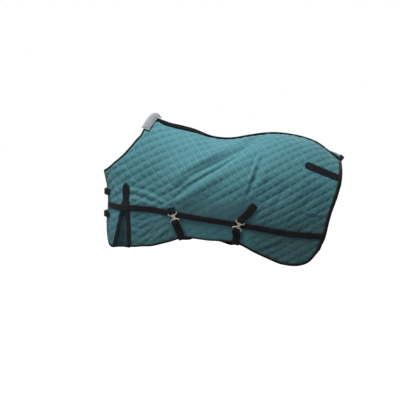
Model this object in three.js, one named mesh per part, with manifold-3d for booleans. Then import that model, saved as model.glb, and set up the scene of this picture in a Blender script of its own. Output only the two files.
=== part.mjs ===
// Turnout rug for a horse, in the shape it takes when it is worn.
// Millimetres, +Z up. The head is towards -X, the rug's left (near) side is -Y, and the origin is on
// the horse's withers, under the spine seam. Every fastening is closed, as on a rugged-up horse.

import * as THREE from 'three';
import { mergeVertices } from 'three/addons/utils/BufferGeometryUtils.js';
import Module from 'manifold-3d';

const wasm = await Module();
wasm.setup();

// ---------------------------------------------------------------- driving dimensions

const QUILT_THICKNESS = 12; // outer cloth, filling and backing, quilted together
const LINING_GAP = 4.5; // air between the quilt and the loose lining
const LINING_THICKNESS = 3; // taffeta with its light backing
const SEAM_GAP = 0.5; // clearance between neighbouring pieces
const BINDING_WIDTH = 9; // how far the binding stands outside the quilt's cut edge
const BINDING_PROUD = 2.5; // how far it stands out of the quilt's face
const SPINE_TAPE_REACH = 17; // each side of the spine seam
const WITHERS_TAPE_REACH = 46; // down the near side, at the withers
const SURCINGLE_WIDTH = 37; // webbing sewn along each side
const STRAP_WIDTH = 38; // chest straps
const BELLY_STRAP_WIDTH = 48; // and the webbing that anchors their clips
const WEB_THICKNESS = 2.2;
const TAPE_THICKNESS = 1.8;
const TAPE_LIFT = 1.2; // underside of a sewn tape, above the quilt's nominal face
const NOSE_LENGTH = 200; // fore-and-aft depth of the rounded chest
const CHEST_STRAP_HEIGHTS = { upper: -490, lower: -640 };

// The horse under the rug, as stations [x, value] that a smooth line joins.
const SPINE_Z = [[-350, 250], [-100, 75], [-12, 14], [90, -30], [169, -50], [263, -78], [384, -124],
  [503, -134], [640, -114], [791, -99], [929, -113], [1066, -154], [1183, -236], [1253, -302],
  [1320, -370]];
const HALF_WIDTH = [[-350, 187], [-200, 194], [0, 212], [200, 252], [400, 286], [650, 294], [850, 284],
  [1050, 262], [1250, 244]];
const WIDEST_DEPTH = [[-350, 600], [-200, 520], [0, 430], [250, 350], [600, 330], [900, 320], [1250, 290]];
const ROUNDNESS = [[-350, 1.3], [-100, 1.4], [-25, 1.42], [30, 1.32], [110, 1.2], [200, 1.22], [320, 1.45],
  [450, 1.65], [600, 1.75], [900, 1.9], [1250, 1.9]];
const HEM_TUCK = [[-300, 0], [0, 18], [150, 50], [400, 75], [620, 42], [900, 14], [1250, 0]];

// The foremost line of the chest, as stations [z, x].
const CHEST_X = [[-1000, -318], [-860, -320], [-820, -330], [-700, -336], [-570, -325], [-460, -330],
  [-350, -350], [-250, -352], [100, -352]];

// The finished outline of one side, as [x, z] seen from the side.
const NECKLINE = [[-78, -80], [-121, -138], [-165, -192], [-211, -242], [-258, -281], [-304, -321],
  [-337, -340]];
const THROAT_Z = -356;
const SPINE_START_X = -12;
const SPINE_END_X = 1250;
const HEM = [[-312, -856], [-279, -859], [-166, -846], [-60, -841], [13, -832], [83, -814], [156, -791],
  [216, -784], [297, -790], [400, -798], [496, -806], [560, -824], [640, -868], [723, -908], [804, -944],
  [870, -958], [923, -961], [970, -953], [1012, -932], [1050, -889]];
const REAR_EDGE = [[1236, -342], [1216, -420], [1196, -482], [1159, -591], [1132, -691], [1115, -768],
  [1089, -828], [1050, -889]];

// Sewn-on webbing, as [x, z] centre lines.
const SURCINGLE_LINE = [[-312, -573], [-217, -584], [-161, -584], [-27, -594], [70, -612], [142, -624],
  [297, -650], [459, -673], [685, -712], [815, -737], [946, -755], [1090, -766]];
const TAIL_BAND_LINE = [[976, -302], [1060, -336], [1130, -365], [1200, -393]];
const TAIL_BAND_WIDTH = 42;

// The shoulder gusset: a slit from the hem up to a pointed patch, with a folded panel behind it.
const GUSSET_APEX = { frontX: -190, rearX: -181, z: -500 };
const GUSSET_FOOT = { frontX: -283, rearX: -170, z: -848 };
const GUSSET_TAPE_WIDTH = 15;
const PATCH_TOP_Z = -422;
const PATCH_WIDTH = 46;

// The belly fastenings on the near side, and where the straps are sewn on the far side.
const FRONT_CLIP = { x: 127, z: -640, lean: 18 };
const REAR_CLIP = { x: 546, z: -688, lean: -24 };

// ---------------------------------------------------------------- materials

function material(name, color, roughness, metalness) {
  const made = new THREE.MeshStandardMaterial({ color, roughness, metalness });
  made.name = name;
  return made;
}
const shellCloth = () => material('shell_cloth', 0x5b949c, 0.85, 0);
const liningCloth = () => material('lining_cloth', 0x1c2226, 0.6, 0);
const blackTape = () => material('black_tape', 0x202024, 0.75, 0);
const blackWeb = () => material('black_webbing', 0x1c1c20, 0.7, 0);
const fleece = () => material('wither_fleece', 0xaab0b4, 0.95, 0);
const pewter = () => material('fitting_metal', 0xb8ae90, 0.35, 1);

// ---------------------------------------------------------------- the worn surface

// Smooth value between stations (a cubic with the neighbours' slope at each station).
function along(stations, x) {
  const last = stations.length - 1;
  let i = 0;
  while (i < last - 1 && x > stations[i + 1][0]) i += 1;
  const [x0, y0] = stations[i];
  const [x1, y1] = stations[i + 1];
  const slope = (j) => {
    const before = stations[Math.max(j - 1, 0)];
    const after = stations[Math.min(j + 1, last)];
    return (after[1] - before[1]) / (after[0] - before[0]);
  };
  const span = x1 - x0;
  const t = THREE.MathUtils.clamp((x - x0) / span, 0, 1);
  const t2 = t * t;
  const t3 = t2 * t;
  return y0 * (2 * t3 - 3 * t2 + 1) + span * slope(i) * (t3 - 2 * t2 + t)
    + y1 * (3 * t2 - 2 * t3) + span * slope(i + 1) * (t3 - t2);
}

const NOSE_ARC = NOSE_LENGTH * Math.PI / 2;

// A place on one side of the rug is (a, s): a is the way round from the middle of the chest and then
// back along the side, and s is the way down over the back from the spine.
function xFromArc(a, z) {
  const front = along(CHEST_X, z);
  if (a >= NOSE_ARC) return front + NOSE_LENGTH + a - NOSE_ARC;
  return front + NOSE_LENGTH * (1 - Math.cos(a / NOSE_LENGTH));
}

function arcFromX(x, z) {
  const back = (x - along(CHEST_X, z)) / NOSE_LENGTH;
  if (back >= 1) return NOSE_ARC + (back - 1) * NOSE_LENGTH;
  return NOSE_LENGTH * Math.acos(1 - Math.max(back, 0));
}

function depthFromGirth(s, widest) {
  const quarter = widest * Math.PI / 2;
  return s < quarter ? widest * (1 - Math.cos(s / widest)) : widest + s - quarter;
}

function girthFromDepth(depth, widest) {
  if (depth >= widest) return widest * Math.PI / 2 + depth - widest;
  return widest * Math.acos(1 - Math.max(depth, 0) / widest);
}

function halfWidth(x, z) {
  const widest = along(WIDEST_DEPTH, x);
  const depth = along(SPINE_Z, x) - z;
  const rise = Math.max(1 - depth / widest, 0);
  const round = Math.pow(Math.max(1 - rise * rise, 0), 1 / along(ROUNDNESS, x));
  const below = Math.max(depth - widest, 0) / 450;
  return along(HALF_WIDTH, x) * round - along(HEM_TUCK, x) * below * below;
}

function onSkin(a, z) {
  const x = xFromArc(a, z);
  const nose = a < NOSE_ARC ? Math.sin(Math.max(a, 0) / NOSE_LENGTH) : 1;
  return new THREE.Vector3(x, -halfWidth(x, z) * nose, z);
}

function worn(a, s) {
  let z = -s;
  for (let pass = 0; pass < 4; pass += 1) {
    const x = xFromArc(a, z);
    z = along(SPINE_Z, x) - depthFromGirth(Math.max(s, 0), along(WIDEST_DEPTH, x));
  }
  return onSkin(a, z);
}

function place(x, z) {
  return new THREE.Vector2(arcFromX(x, z), girthFromDepth(along(SPINE_Z, x) - z, along(WIDEST_DEPTH, x)));
}

// The point at (a, s), lifted off the cloth's outer face, on the left side or mirrored to the right.
function lifted(a, s, lift, side) {
  const point = worn(a, s);
  const alongBack = worn(a + 2, s).sub(worn(a - 2, s));
  const down = worn(a, s + 2).sub(worn(a, Math.max(s - 2, 0)));
  const normal = down.cross(alongBack).normalize();
  if (a < 1) normal.set(-1, 0, 0);
  point.addScaledVector(normal, lift);
  return side === 'left' ? point : point.set(point.x, -point.y, point.z);
}

// ---------------------------------------------------------------- closed solids

function closed(geometry) {
  for (const name of ['normal', 'uv']) geometry.deleteAttribute(name);
  const merged = mergeVertices(geometry, 1e-4);
  const index = merged.getIndex();
  const position = merged.getAttribute('position');
  const corner = [0, 1, 2].map(() => new THREE.Vector3());
  let volume = 0;
  for (let i = 0; i < index.count; i += 3) {
    corner.forEach((vector, k) => vector.fromBufferAttribute(position, index.getX(i + k)));
    volume += corner[0].dot(corner[1].clone().cross(corner[2]));
  }
  for (let i = 0; volume < 0 && i < index.count; i += 3) {
    const first = index.getX(i);
    index.setX(i, index.getX(i + 1));
    index.setX(i + 1, first);
  }
  return merged;
}

// A box of cells bent into a sheet: at(u, v, w) places each corner, with w = 0 outside and 1 inside.
function bent(cellsU, cellsV, at) {
  const box = new THREE.BoxGeometry(1, 1, 1, cellsU, cellsV, 1);
  const position = box.getAttribute('position');
  for (let i = 0; i < position.count; i += 1) {
    const point = at(position.getX(i) + 0.5, position.getY(i) + 0.5, position.getZ(i) + 0.5);
    position.setXYZ(i, point.x, point.y, point.z);
  }
  return closed(box);
}

function toManifold(geometry) {
  const vertProperties = new Float32Array(geometry.getAttribute('position').array);
  const triVerts = new Uint32Array(geometry.getIndex().array);
  return new wasm.Manifold(new wasm.Mesh({ numProp: 3, vertProperties, triVerts }));
}

function fromManifold(solid) {
  const mesh = solid.getMesh();
  const geometry = new THREE.BufferGeometry();
  geometry.setAttribute('position', new THREE.BufferAttribute(new Float32Array(mesh.vertProperties), 3));
  geometry.setIndex(new THREE.BufferAttribute(new Uint32Array(mesh.triVerts), 1));
  return geometry;
}

const cutFrom = (geometry, tool) => fromManifold(toManifold(geometry).subtract(toManifold(tool)));
const common = (geometry, tool) => fromManifold(toManifold(geometry).intersect(toManifold(tool)));
const joined = (geometry, other) => fromManifold(toManifold(geometry).add(toManifold(other)));

const rug = new THREE.Group();

function addPiece(name, geometry, finish) {
  const mesh = new THREE.Mesh(geometry, finish);
  mesh.name = name;
  rug.add(mesh);
  return mesh;
}

// ---------------------------------------------------------------- the outline of one side

const spineStart = place(SPINE_START_X, along(SPINE_Z, SPINE_START_X));
const spineEnd = place(SPINE_END_X, along(SPINE_Z, SPINE_END_X));
const throat = new THREE.Vector2(1, place(along(CHEST_X, THROAT_Z), THROAT_Z).y);
const outline = (points) => points.map(([x, z]) => place(x, z));
const neckCurve = new THREE.SplineCurve([spineStart, ...outline(NECKLINE), throat]);
const hemPoints = outline(HEM);
const chestFoot = new THREE.Vector2(1, hemPoints[0].y);
const hemCurve = new THREE.SplineCurve([chestFoot, ...hemPoints]);
const rearCurve = new THREE.SplineCurve([spineEnd, ...outline(REAR_EDGE)]);
const rearFoot = hemPoints[hemPoints.length - 1];

const spineEdge = (u) => spineStart.clone().lerp(spineEnd, u);
const hemEdge = (u) => hemCurve.getPointAt(u);
const insetV = (u, inset) => inset / spineEdge(u).distanceTo(hemEdge(u));

// The cloth is divided into columns from front to rear and rows from spine to hem.
const COLUMNS = 22;
const ROWS = 14;
const THROAT_ROW = 8;
const inset = BINDING_WIDTH + SEAM_GAP;
const rowPlace = (column, row, margin) => {
  const u = THREE.MathUtils.lerp(0.02, 0.98, column);
  return THREE.MathUtils.lerp(insetV(u, SEAM_GAP), 1 - insetV(u, margin), row);
};

// The front boundary is neckline down to this share of it; the rest is the chest opening.
const NECK_SHARE = rowPlace(0, THROAT_ROW / ROWS, inset);
const frontEdge = (v) => (v < NECK_SHARE ? neckCurve.getPointAt(v / NECK_SHARE)
  : throat.clone().lerp(chestFoot, (v - NECK_SHARE) / (1 - NECK_SHARE)));
const rearEdge = (v) => rearCurve.getPointAt(v);

// The cloth between the four edges: u runs from the front to the rear, v from the spine to the hem.
function cloth(u, v) {
  const point = spineEdge(u).multiplyScalar(1 - v).add(hemEdge(u).multiplyScalar(v));
  point.add(frontEdge(v).multiplyScalar(1 - u)).add(rearEdge(v).multiplyScalar(u));
  point.sub(spineStart.clone().multiplyScalar((1 - u) * (1 - v)));
  point.sub(spineEnd.clone().multiplyScalar(u * (1 - v)));
  point.sub(chestFoot.clone().multiplyScalar((1 - u) * v));
  return point.sub(rearFoot.clone().multiplyScalar(u * v));
}
const insetU = (v, margin) => margin / frontEdge(v).distanceTo(rearEdge(v));
const columnPlace = (column, v, margin) => {
  const edge = insetU(v, margin);
  return THREE.MathUtils.lerp(edge, 1 - edge, column);
};

// Keeps a corner on its own side of the middle plane, where the left and right halves are sewn.
function ownSide(point, side) {
  const limit = 0.6;
  if (side === 'left') point.y = Math.min(point.y, -limit);
  else point.y = Math.max(point.y, limit);
  return point;
}

// A sheet of the cloth: at(i, j) gives the place in (u, v) of each corner of its cells.
function clothSolid(cells, at, lifts, side) {
  return bent(cells[0], cells[1], (i, j, w) => {
    const { u, v } = at(i, j);
    const spot = cloth(u, v);
    return ownSide(lifted(spot.x, spot.y, THREE.MathUtils.lerp(lifts[0], lifts[1], w), side), side);
  });
}

function inside(column, row, margin) {
  const v = rowPlace(column, row, margin);
  return { u: columnPlace(column, v, margin), v };
}

// A tape laid along a line of [x, z] places.
function tapeSolid(line, width, lift, thickness, side, steps, taper = () => 1) {
  const curve = new THREE.SplineCurve(line.map(([x, z]) => new THREE.Vector2(arcFromX(x, z), z)));
  return bent(steps, 2, (i, j, w) => {
    const spot = curve.getPointAt(i);
    const heading = curve.getTangentAt(i);
    const across = (j - 0.5) * width * taper(i);
    const a = spot.x - heading.y * across;
    const z = spot.y + heading.x * across;
    const under = place(xFromArc(a, z), z);
    return lifted(under.x, under.y, lift(i) + w * thickness, side);
  });
}

// A strap along a free curve, kept flat against the given width direction.
function ribbonSolid(points, widthHint, width, thickness, steps) {
  const curve = new THREE.CatmullRomCurve3(points, false, 'centripetal');
  return bent(steps, 1, (i, j, w) => {
    const tangent = curve.getTangent(i);
    const hint = widthHint(i);
    const across = hint.addScaledVector(tangent, -hint.dot(tangent)).normalize();
    const out = tangent.clone().cross(across);
    const point = curve.getPoint(i).addScaledVector(across, (j - 0.5) * width);
    return point.addScaledVector(out, (w - 0.5) * thickness);
  });
}

// ---------------------------------------------------------------- quilt, lining, gusset

function wedge(margin, side) {
  const shape = new THREE.Shape();
  const drop = 60;
  shape.moveTo(GUSSET_APEX.frontX + margin, GUSSET_APEX.z - margin * 12);
  shape.lineTo(GUSSET_APEX.rearX - margin, GUSSET_APEX.z - margin * 12);
  shape.lineTo(GUSSET_FOOT.rearX - margin, GUSSET_FOOT.z - drop);
  shape.lineTo(GUSSET_FOOT.frontX - 15 + margin, GUSSET_FOOT.z - drop);
  const solid = new THREE.ExtrudeGeometry(shape, { depth: 300, bevelEnabled: false });
  solid.rotateX(Math.PI / 2);
  if (side === 'right') solid.translate(0, 350, 0);
  else solid.translate(0, -50, 0);
  return closed(solid);
}

const liningTop = -QUILT_THICKNESS - LINING_GAP;
const bindingLifts = [BINDING_PROUD, liningTop - LINING_THICKNESS - BINDING_PROUD];

function addCloth(side) {
  const slit = wedge(0, side);
  const panel = clothSolid([COLUMNS, ROWS], (i, j) => inside(i, j, inset), [0, -QUILT_THICKNESS], side);
  addPiece(`quilt_${side}`, cutFrom(panel, slit), shellCloth());
  const lining = clothSolid([COLUMNS, ROWS], (i, j) => inside(i, j, inset + 5),
    [liningTop, liningTop - LINING_THICKNESS], side);
  addPiece(`lining_${side}`, cutFrom(lining, slit), liningCloth());
  const shoulder = (i, j) => inside(i * 0.25, THREE.MathUtils.lerp(0.5, 1, j), inset + 2);
  const behind = clothSolid([8, 8], shoulder, [-3, -7], side);
  addPiece(`gusset_${side}`, common(behind, wedge(1, side)), shellCloth());
}

// ---------------------------------------------------------------- bindings and sewn tapes

function addBindings(side) {
  const strip = (name, cells, at) =>
    addPiece(`${name}_binding_${side}`, clothSolid(cells, at, bindingLifts, side), blackTape());
  const share = BINDING_WIDTH / inset;
  const endGap = 0.0008;
  const crestNarrowing = 0.55; // where the neck binding turns over the crest
  const tailNarrowing = 0.7; // where the rear binding meets the hem's
  const hemShare = share * 0.92;
  strip('neck', [1, THROAT_ROW], (i, j) => {
    const v = Math.min(rowPlace(0, j * THROAT_ROW / ROWS, inset), NECK_SHARE - endGap);
    const narrowed = share * (1 - crestNarrowing * Math.max(1 - j * THROAT_ROW, 0));
    return { u: i * narrowed * columnPlace(0, v, inset), v };
  });
  const frontRows = ROWS - THROAT_ROW;
  strip('front', [1, frontRows + 1], (i, j) => {
    const row = (THROAT_ROW + j * (frontRows + 1)) / ROWS;
    const v = row > 1 ? 1 : Math.max(rowPlace(0, row, inset), NECK_SHARE + endGap);
    return { u: i * share * columnPlace(0, v, inset), v };
  });
  strip('rear', [1, ROWS + 1], (i, j) => {
    const row = j * (ROWS + 1) / ROWS;
    const v = row > 1 ? 1 : rowPlace(1, row, inset);
    const narrowed = share * (1 - tailNarrowing * THREE.MathUtils.smoothstep(row, 0.75, 1));
    return { u: 1 - (1 - i) * narrowed * (1 - columnPlace(1, v, inset)), v };
  });
  strip('hem', [COLUMNS, 1], (i, j) => {
    const edge = inside(i, 1, inset);
    const u = THREE.MathUtils.clamp(edge.u, columnPlace(0, 1, inset + 2), columnPlace(1, 1, inset + 2));
    return { u, v: 1 - (1 - j) * hemShare * (1 - edge.v) };
  });
}

// How far down in s a place is that lies the given distance down the cloth from the spine.
function girthAt(a, distance) {
  const step = 2;
  let s = 0;
  let from = worn(a, 0);
  for (let run = 0; run < distance; s += step) {
    const next = worn(a, s + step);
    run += next.distanceTo(from);
    from = next;
  }
  return s;
}

// The tape lies evenly over the seam, but well down the near side at the withers.
function addSpineTape() {
  const quiltTop = 2; // clear of the flat faces between the quilt's grid points
  const start = spineEdge(insetU(0, inset)).x;
  const end = spineEdge(1 - insetU(0, inset)).x - 1;
  const geometry = bent(34, 6, (i, j, w) => {
    const side = j < 0.5 ? 'left' : 'right';
    const a = THREE.MathUtils.lerp(start, end, i);
    const { x } = worn(a, 0);
    const comesIn = THREE.MathUtils.smoothstep(x, -10, 50);
    const goesOut = THREE.MathUtils.smoothstep(x, 180, 370);
    const low = side === 'left' ? comesIn * (1 - goesOut) : 0;
    const reach = THREE.MathUtils.lerp(SPINE_TAPE_REACH, WITHERS_TAPE_REACH, low);
    const s = girthAt(a, Math.abs(j - 0.5) * 2 * reach);
    const point = lifted(a, s, quiltTop + w * TAPE_THICKNESS, side);
    if (s === 0) point.y = 0;
    return point;
  });
  addPiece('spine_tape', geometry, blackTape());
}

function addSewnTapes(side) {
  const flat = () => TAPE_LIFT;
  const gussetTapeRise = 2 * TAPE_THICKNESS; // the surcingle crosses over the gusset's tapes
  const overGusset = (i) => (i < 0.22 ? TAPE_LIFT + gussetTapeRise : TAPE_LIFT);
  addPiece(`surcingle_${side}`,
    tapeSolid(SURCINGLE_LINE, SURCINGLE_WIDTH, overGusset, TAPE_THICKNESS, side, 30), blackWeb());
  const rounded = (i) => Math.sqrt(1 - Math.max(1 - i * 10, 0) ** 2 * 0.84);
  addPiece(`tail_band_${side}`,
    tapeSolid(TAIL_BAND_LINE, TAIL_BAND_WIDTH, flat, TAPE_THICKNESS, side, 12, rounded), blackWeb());
  const patchFoot = GUSSET_APEX.z - 8;
  const middleX = (GUSSET_APEX.frontX + GUSSET_APEX.rearX) / 2;
  const pointed = (i) => Math.min(0.12 + i * 2.6, 1);
  const patchLine = [[middleX, PATCH_TOP_Z], [middleX, patchFoot]];
  addPiece(`gusset_patch_${side}`,
    tapeSolid(patchLine, PATCH_WIDTH, flat, TAPE_THICKNESS, side, 6, pointed), blackTape());
  const half = GUSSET_TAPE_WIDTH / 2 + 1;
  const tapeTop = patchFoot - 6;
  const tapeFoot = GUSSET_FOOT.z + 22;
  for (const [name, out] of [['front', -half], ['rear', half]]) {
    const apexX = GUSSET_APEX[`${name}X`];
    const footX = GUSSET_FOOT[`${name}X`];
    const line = [0, 0.33, 0.67, 1].map((t) => {
      const z = THREE.MathUtils.lerp(tapeTop, tapeFoot, t);
      return [THREE.MathUtils.mapLinear(z, GUSSET_APEX.z, GUSSET_FOOT.z, apexX, footX) + out, z];
    });
    addPiece(`gusset_${name}_tape_${side}`,
      tapeSolid(line, GUSSET_TAPE_WIDTH, flat, TAPE_THICKNESS, side, 10), blackTape());
  }
}

// A fleece pad folded over the crest of the withers, along the neckline.
function addWitherPad() {
  const reach = 0.165; // down the neckline on each side, as a share of the front boundary
  const overhang = 16; // how far the pad stands forward of the neckline
  const width = 52;
  const thickness = 8;
  const bindingTop = BINDING_PROUD + 2.5;
  const crestRise = 9; // the pad bridges the ridge instead of lying on it
  const geometry = bent(3, 18, (i, j, w) => {
    const side = j < 0.5 ? 'left' : 'right';
    const down = Math.abs(j - 0.5) * 2;
    const v = down * reach;
    const edge = cloth(0, v);
    const across = cloth(insetU(v, width), v).sub(edge);
    const spot = edge.clone().addScaledVector(across, i - overhang / width);
    const lift = bindingTop + crestRise * (1 - down) ** 2 + w * thickness;
    const point = lifted(spot.x, spot.y, lift, side);
    if (v === 0) point.y = 0;
    return point;
  });
  addPiece('wither_pad', geometry, fleece());
}

// The strap that hangs from flap to flap behind the thighs.
function addTailStrap() {
  const width = 30;
  const sag = 105;
  const standOff = 26; // how far the middle hangs behind its ends
  const anchor = (side) => {
    const spot = place(1204, -402);
    return lifted(spot.x, spot.y, bindingLifts[1] - 4, side);
  };
  const left = anchor('left');
  const right = anchor('right');
  const points = [0, 0.12, 0.3, 0.5, 0.7, 0.88, 1].map((t) => {
    const point = left.clone().lerp(right, t);
    const bow = 4 * t * (1 - t);
    point.z -= sag * bow;
    point.x += standOff * bow;
    return point;
  });
  const upright = () => new THREE.Vector3(0, 0, 1);
  addPiece('tail_strap', ribbonSolid(points, upright, width, WEB_THICKNESS, 22), blackWeb());
}

// ---------------------------------------------------------------- belly fastenings

// Axes at a place on the side: columns are right, up and out, turned by lean degrees about out.
function axesAt(x, z, lean) {
  const spot = place(x, z);
  const origin = lifted(spot.x, spot.y, 0, 'left');
  const out = lifted(spot.x, spot.y, 1, 'left').sub(origin).normalize();
  const up = new THREE.Vector3(0, 0, 1).addScaledVector(out, -out.z).normalize();
  up.applyAxisAngle(out, THREE.MathUtils.degToRad(lean));
  const right = up.clone().cross(out);
  return new THREE.Matrix4().makeBasis(right, up, out).setPosition(origin);
}

const PLATE_LIFT = 8;
const PLATE_THICKNESS = 3;
const HOOK_LIFT = PLATE_LIFT + PLATE_THICKNESS + 0.6;
const EYE = { bar: 5, slot: 7, halfWidth: 25.5 }; // the strap's slot and the bar outside it
const CLIP_HALF_WIDTH = EYE.halfWidth + 6;

// Half of a surcingle clip: a wide eye for the strap and a waist that narrows towards the middle.
function clipOutline(direction, waist, reach) {
  const eyeTop = 30;
  const shoulder = eyeTop - EYE.bar - EYE.slot - 1;
  const shape = new THREE.Shape();
  shape.moveTo(-waist, reach * direction);
  for (const [p, q] of [[-waist - 2, 8], [1 - CLIP_HALF_WIDTH, shoulder], [-CLIP_HALF_WIDTH, eyeTop - 2],
    [4 - CLIP_HALF_WIDTH, eyeTop], [CLIP_HALF_WIDTH - 4, eyeTop], [CLIP_HALF_WIDTH, eyeTop - 2],
    [CLIP_HALF_WIDTH - 1, shoulder], [waist + 2, 8], [waist, reach]]) shape.lineTo(p, q * direction);
  shape.closePath();
  const eye = new THREE.Path();
  const low = (eyeTop - EYE.bar - EYE.slot) * direction;
  const high = (eyeTop - EYE.bar) * direction;
  eye.moveTo(-EYE.halfWidth, low);
  eye.lineTo(EYE.halfWidth, low);
  eye.lineTo(EYE.halfWidth, high);
  eye.lineTo(-EYE.halfWidth, high);
  eye.closePath();
  shape.holes.push(eye);
  return shape;
}

function addClip(name, clip) {
  const axes = axesAt(clip.x, clip.z, clip.lean);
  // the plate, with a slot that the hook's neck drops into
  const plateShape = clipOutline(1, 12, -9);
  const slot = new THREE.Path();
  slot.moveTo(-7, -5);
  slot.lineTo(7, -5);
  slot.lineTo(7, 6);
  slot.lineTo(-7, 6);
  slot.closePath();
  plateShape.holes.push(slot);
  const plate = new THREE.ExtrudeGeometry(plateShape, { depth: PLATE_THICKNESS, bevelEnabled: false });
  plate.translate(0, 0, PLATE_LIFT);
  addPiece(`clip_plate_${name}`, closed(plate).applyMatrix4(axes), pewter());
  // the hook: its face lies over the plate, the neck goes through the slot and the head sits behind
  const face = new THREE.ExtrudeGeometry(clipOutline(-1, 6, -5),
    { depth: PLATE_THICKNESS, bevelEnabled: false });
  face.translate(0, 0, HOOK_LIFT);
  const neck = new THREE.BoxGeometry(9, 5, 8);
  neck.translate(0, 1.5, HOOK_LIFT - 3);
  const head = new THREE.BoxGeometry(19, 6, 2.6);
  head.translate(0, 1.5, PLATE_LIFT - 2);
  const hook = joined(joined(closed(face), closed(neck)), closed(head));
  addPiece(`clip_hook_${name}`, hook.applyMatrix4(axes), pewter());
  return axes;
}

const at = (axes, p, q, r) => new THREE.Vector3(p, q, r).applyMatrix4(axes);
const onSide = (x, z, lift, side) => {
  const spot = place(x, z);
  return lifted(spot.x, spot.y, lift, side);
};
const rightOf = (axes) => new THREE.Vector3().setFromMatrixColumn(axes, 0);

// Webbing that comes in behind a clip's bar, turns round it and comes back in front.
function loopRound(axes, bar, middle, direction) {
  const legs = [[16, -4.2], [4, -4.4], [-2.5, -4], [-5.4, 0], [-2.5, 4], [6, 4], [24, 1.6]];
  return legs.map(([q, r]) => at(axes, 0, bar + q * direction, middle + r));
}

const BAR_PLACE = 27.5; // from the middle of a clip to the middle of either bar

// The webbing that holds each plate: sewn over the surcingle, round the plate's bar and back.
function addAnchor(name, axes, topPoints) {
  const middle = PLATE_LIFT + PLATE_THICKNESS / 2;
  const points = topPoints.map(([x, z]) => onSide(x, z, 5.6, 'left'));
  points.push(...loopRound(axes, BAR_PLACE, middle, 1));
  const clipWay = () => rightOf(axes);
  addPiece(`anchor_${name}`, ribbonSolid(points, clipWay, BELLY_STRAP_WIDTH, WEB_THICKNESS, 30), blackWeb());
}

// A belly strap: round the hook's bar on the near side, down over the hem, across under the belly
// and up the far side, where it is sewn to the surcingle. It comes off each hem a little low.
function addBellyStrap(name, axes, nearRoute, farRoute, under) {
  const middle = HOOK_LIFT + PLATE_THICKNESS / 2;
  const atHem = -9;
  const points = loopRound(axes, -BAR_PLACE, middle, -1).reverse();
  for (const [x, z] of nearRoute) points.push(onSide(x, z, 7, 'left'));
  const nearEnd = points[points.length - 1];
  const farSide = farRoute.map(([x, z]) => onSide(x, z, 8.6, 'right'));
  const farEnd = farSide[0];
  const rises = [[0.05, atHem], [0.18, under * 0.3], [0.5, under], [0.82, under * 0.3], [0.95, atHem]];
  for (const [t, rise] of rises) {
    const point = nearEnd.clone().lerp(farEnd, t);
    point.z += rise;
    points.push(point);
  }
  points.push(...farSide);
  const fore = new THREE.Vector3(1, 0, 0);
  const untwist = (i) => rightOf(axes).lerp(fore, THREE.MathUtils.smoothstep(i, 0.36, 0.55));
  addPiece(`belly_strap_${name}`, ribbonSolid(points, untwist, BELLY_STRAP_WIDTH, WEB_THICKNESS, 72), blackWeb());
  return new THREE.CatmullRomCurve3(points, false, 'centripetal');
}

function addFarAnchor(name, x, z) {
  addPiece(`anchor_far_${name}`,
    tapeSolid([[x - 31, z + 3], [x + 31, z - 3]], 44, () => 13.4, TAPE_THICKNESS, 'right', 2), blackWeb());
}

// A metal slide that shortens the strap: a flat ring that the webbing runs through.
function addSlide(name, curve, share) {
  const middle = curve.getPointAt(share);
  const tangent = curve.getTangentAt(share);
  const across = new THREE.Vector3(1, 0, 0).addScaledVector(tangent, -tangent.x).normalize();
  const out = tangent.clone().cross(across);
  const axes = new THREE.Matrix4().makeBasis(across, out, tangent).setPosition(middle);
  const ring = new THREE.Shape();
  ring.moveTo(-30, -4.4).lineTo(30, -4.4).lineTo(30, 4.4).lineTo(-30, 4.4).closePath();
  const hole = new THREE.Path();
  hole.moveTo(-25.5, -2).lineTo(25.5, -2).lineTo(25.5, 2).lineTo(-25.5, 2).closePath();
  ring.holes.push(hole);
  const body = new THREE.ExtrudeGeometry(ring, { depth: 14, bevelEnabled: false });
  body.translate(0, 0, -7);
  addPiece(`slide_${name}`, closed(body).applyMatrix4(axes), pewter());
}

// ---------------------------------------------------------------- chest fastenings

const BAR = 3.6; // the buckle's square bar
const BUCKLE = { halfLength: 23, halfHeight: 24.5, lift: 9 };
const HEEL = -(BUCKLE.halfLength - BAR / 2);
const TOE = BUCKLE.halfLength - BAR / 2;
const KEEPER_PLACE = -68;
const CHEST_CLEARANCE = 2.2; // between the chest straps' nominal plane and the cloth

// A place in front of the chest: t is the way across from the middle, to the left when negative.
function chestPoint(t, z, lift) {
  const side = t < 0 ? 'left' : 'right';
  const front = along(CHEST_X, z);
  const height = lift + CHEST_CLEARANCE;
  const flat = new THREE.Vector3(front - height, t, z);
  const skin = onSkin(Math.abs(t), z);
  const next = onSkin(Math.abs(t) + 2, z).sub(skin);
  const round = new THREE.Vector3(skin.x - Math.abs(next.y) / next.length() * height,
    (skin.y - next.x / next.length() * height) * (side === 'left' ? 1 : -1), z);
  return flat.lerp(round, THREE.MathUtils.smoothstep(Math.abs(t), 30, 62));
}

function chestStrap(points, z, steps) {
  const path = points.map(([t, lift]) => chestPoint(t, z, lift));
  return ribbonSolid(path, () => new THREE.Vector3(0, 0, 1), STRAP_WIDTH, WEB_THICKNESS, steps);
}

// A small box through the strap's face, where the tongue or its collar passes.
function strapSlot(t0, t1, z, halfHeight) {
  const box = new THREE.BoxGeometry(30, t1 - t0, 2 * halfHeight);
  box.translate(along(CHEST_X, z) - 10, (t0 + t1) / 2, z);
  return closed(box);
}

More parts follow.
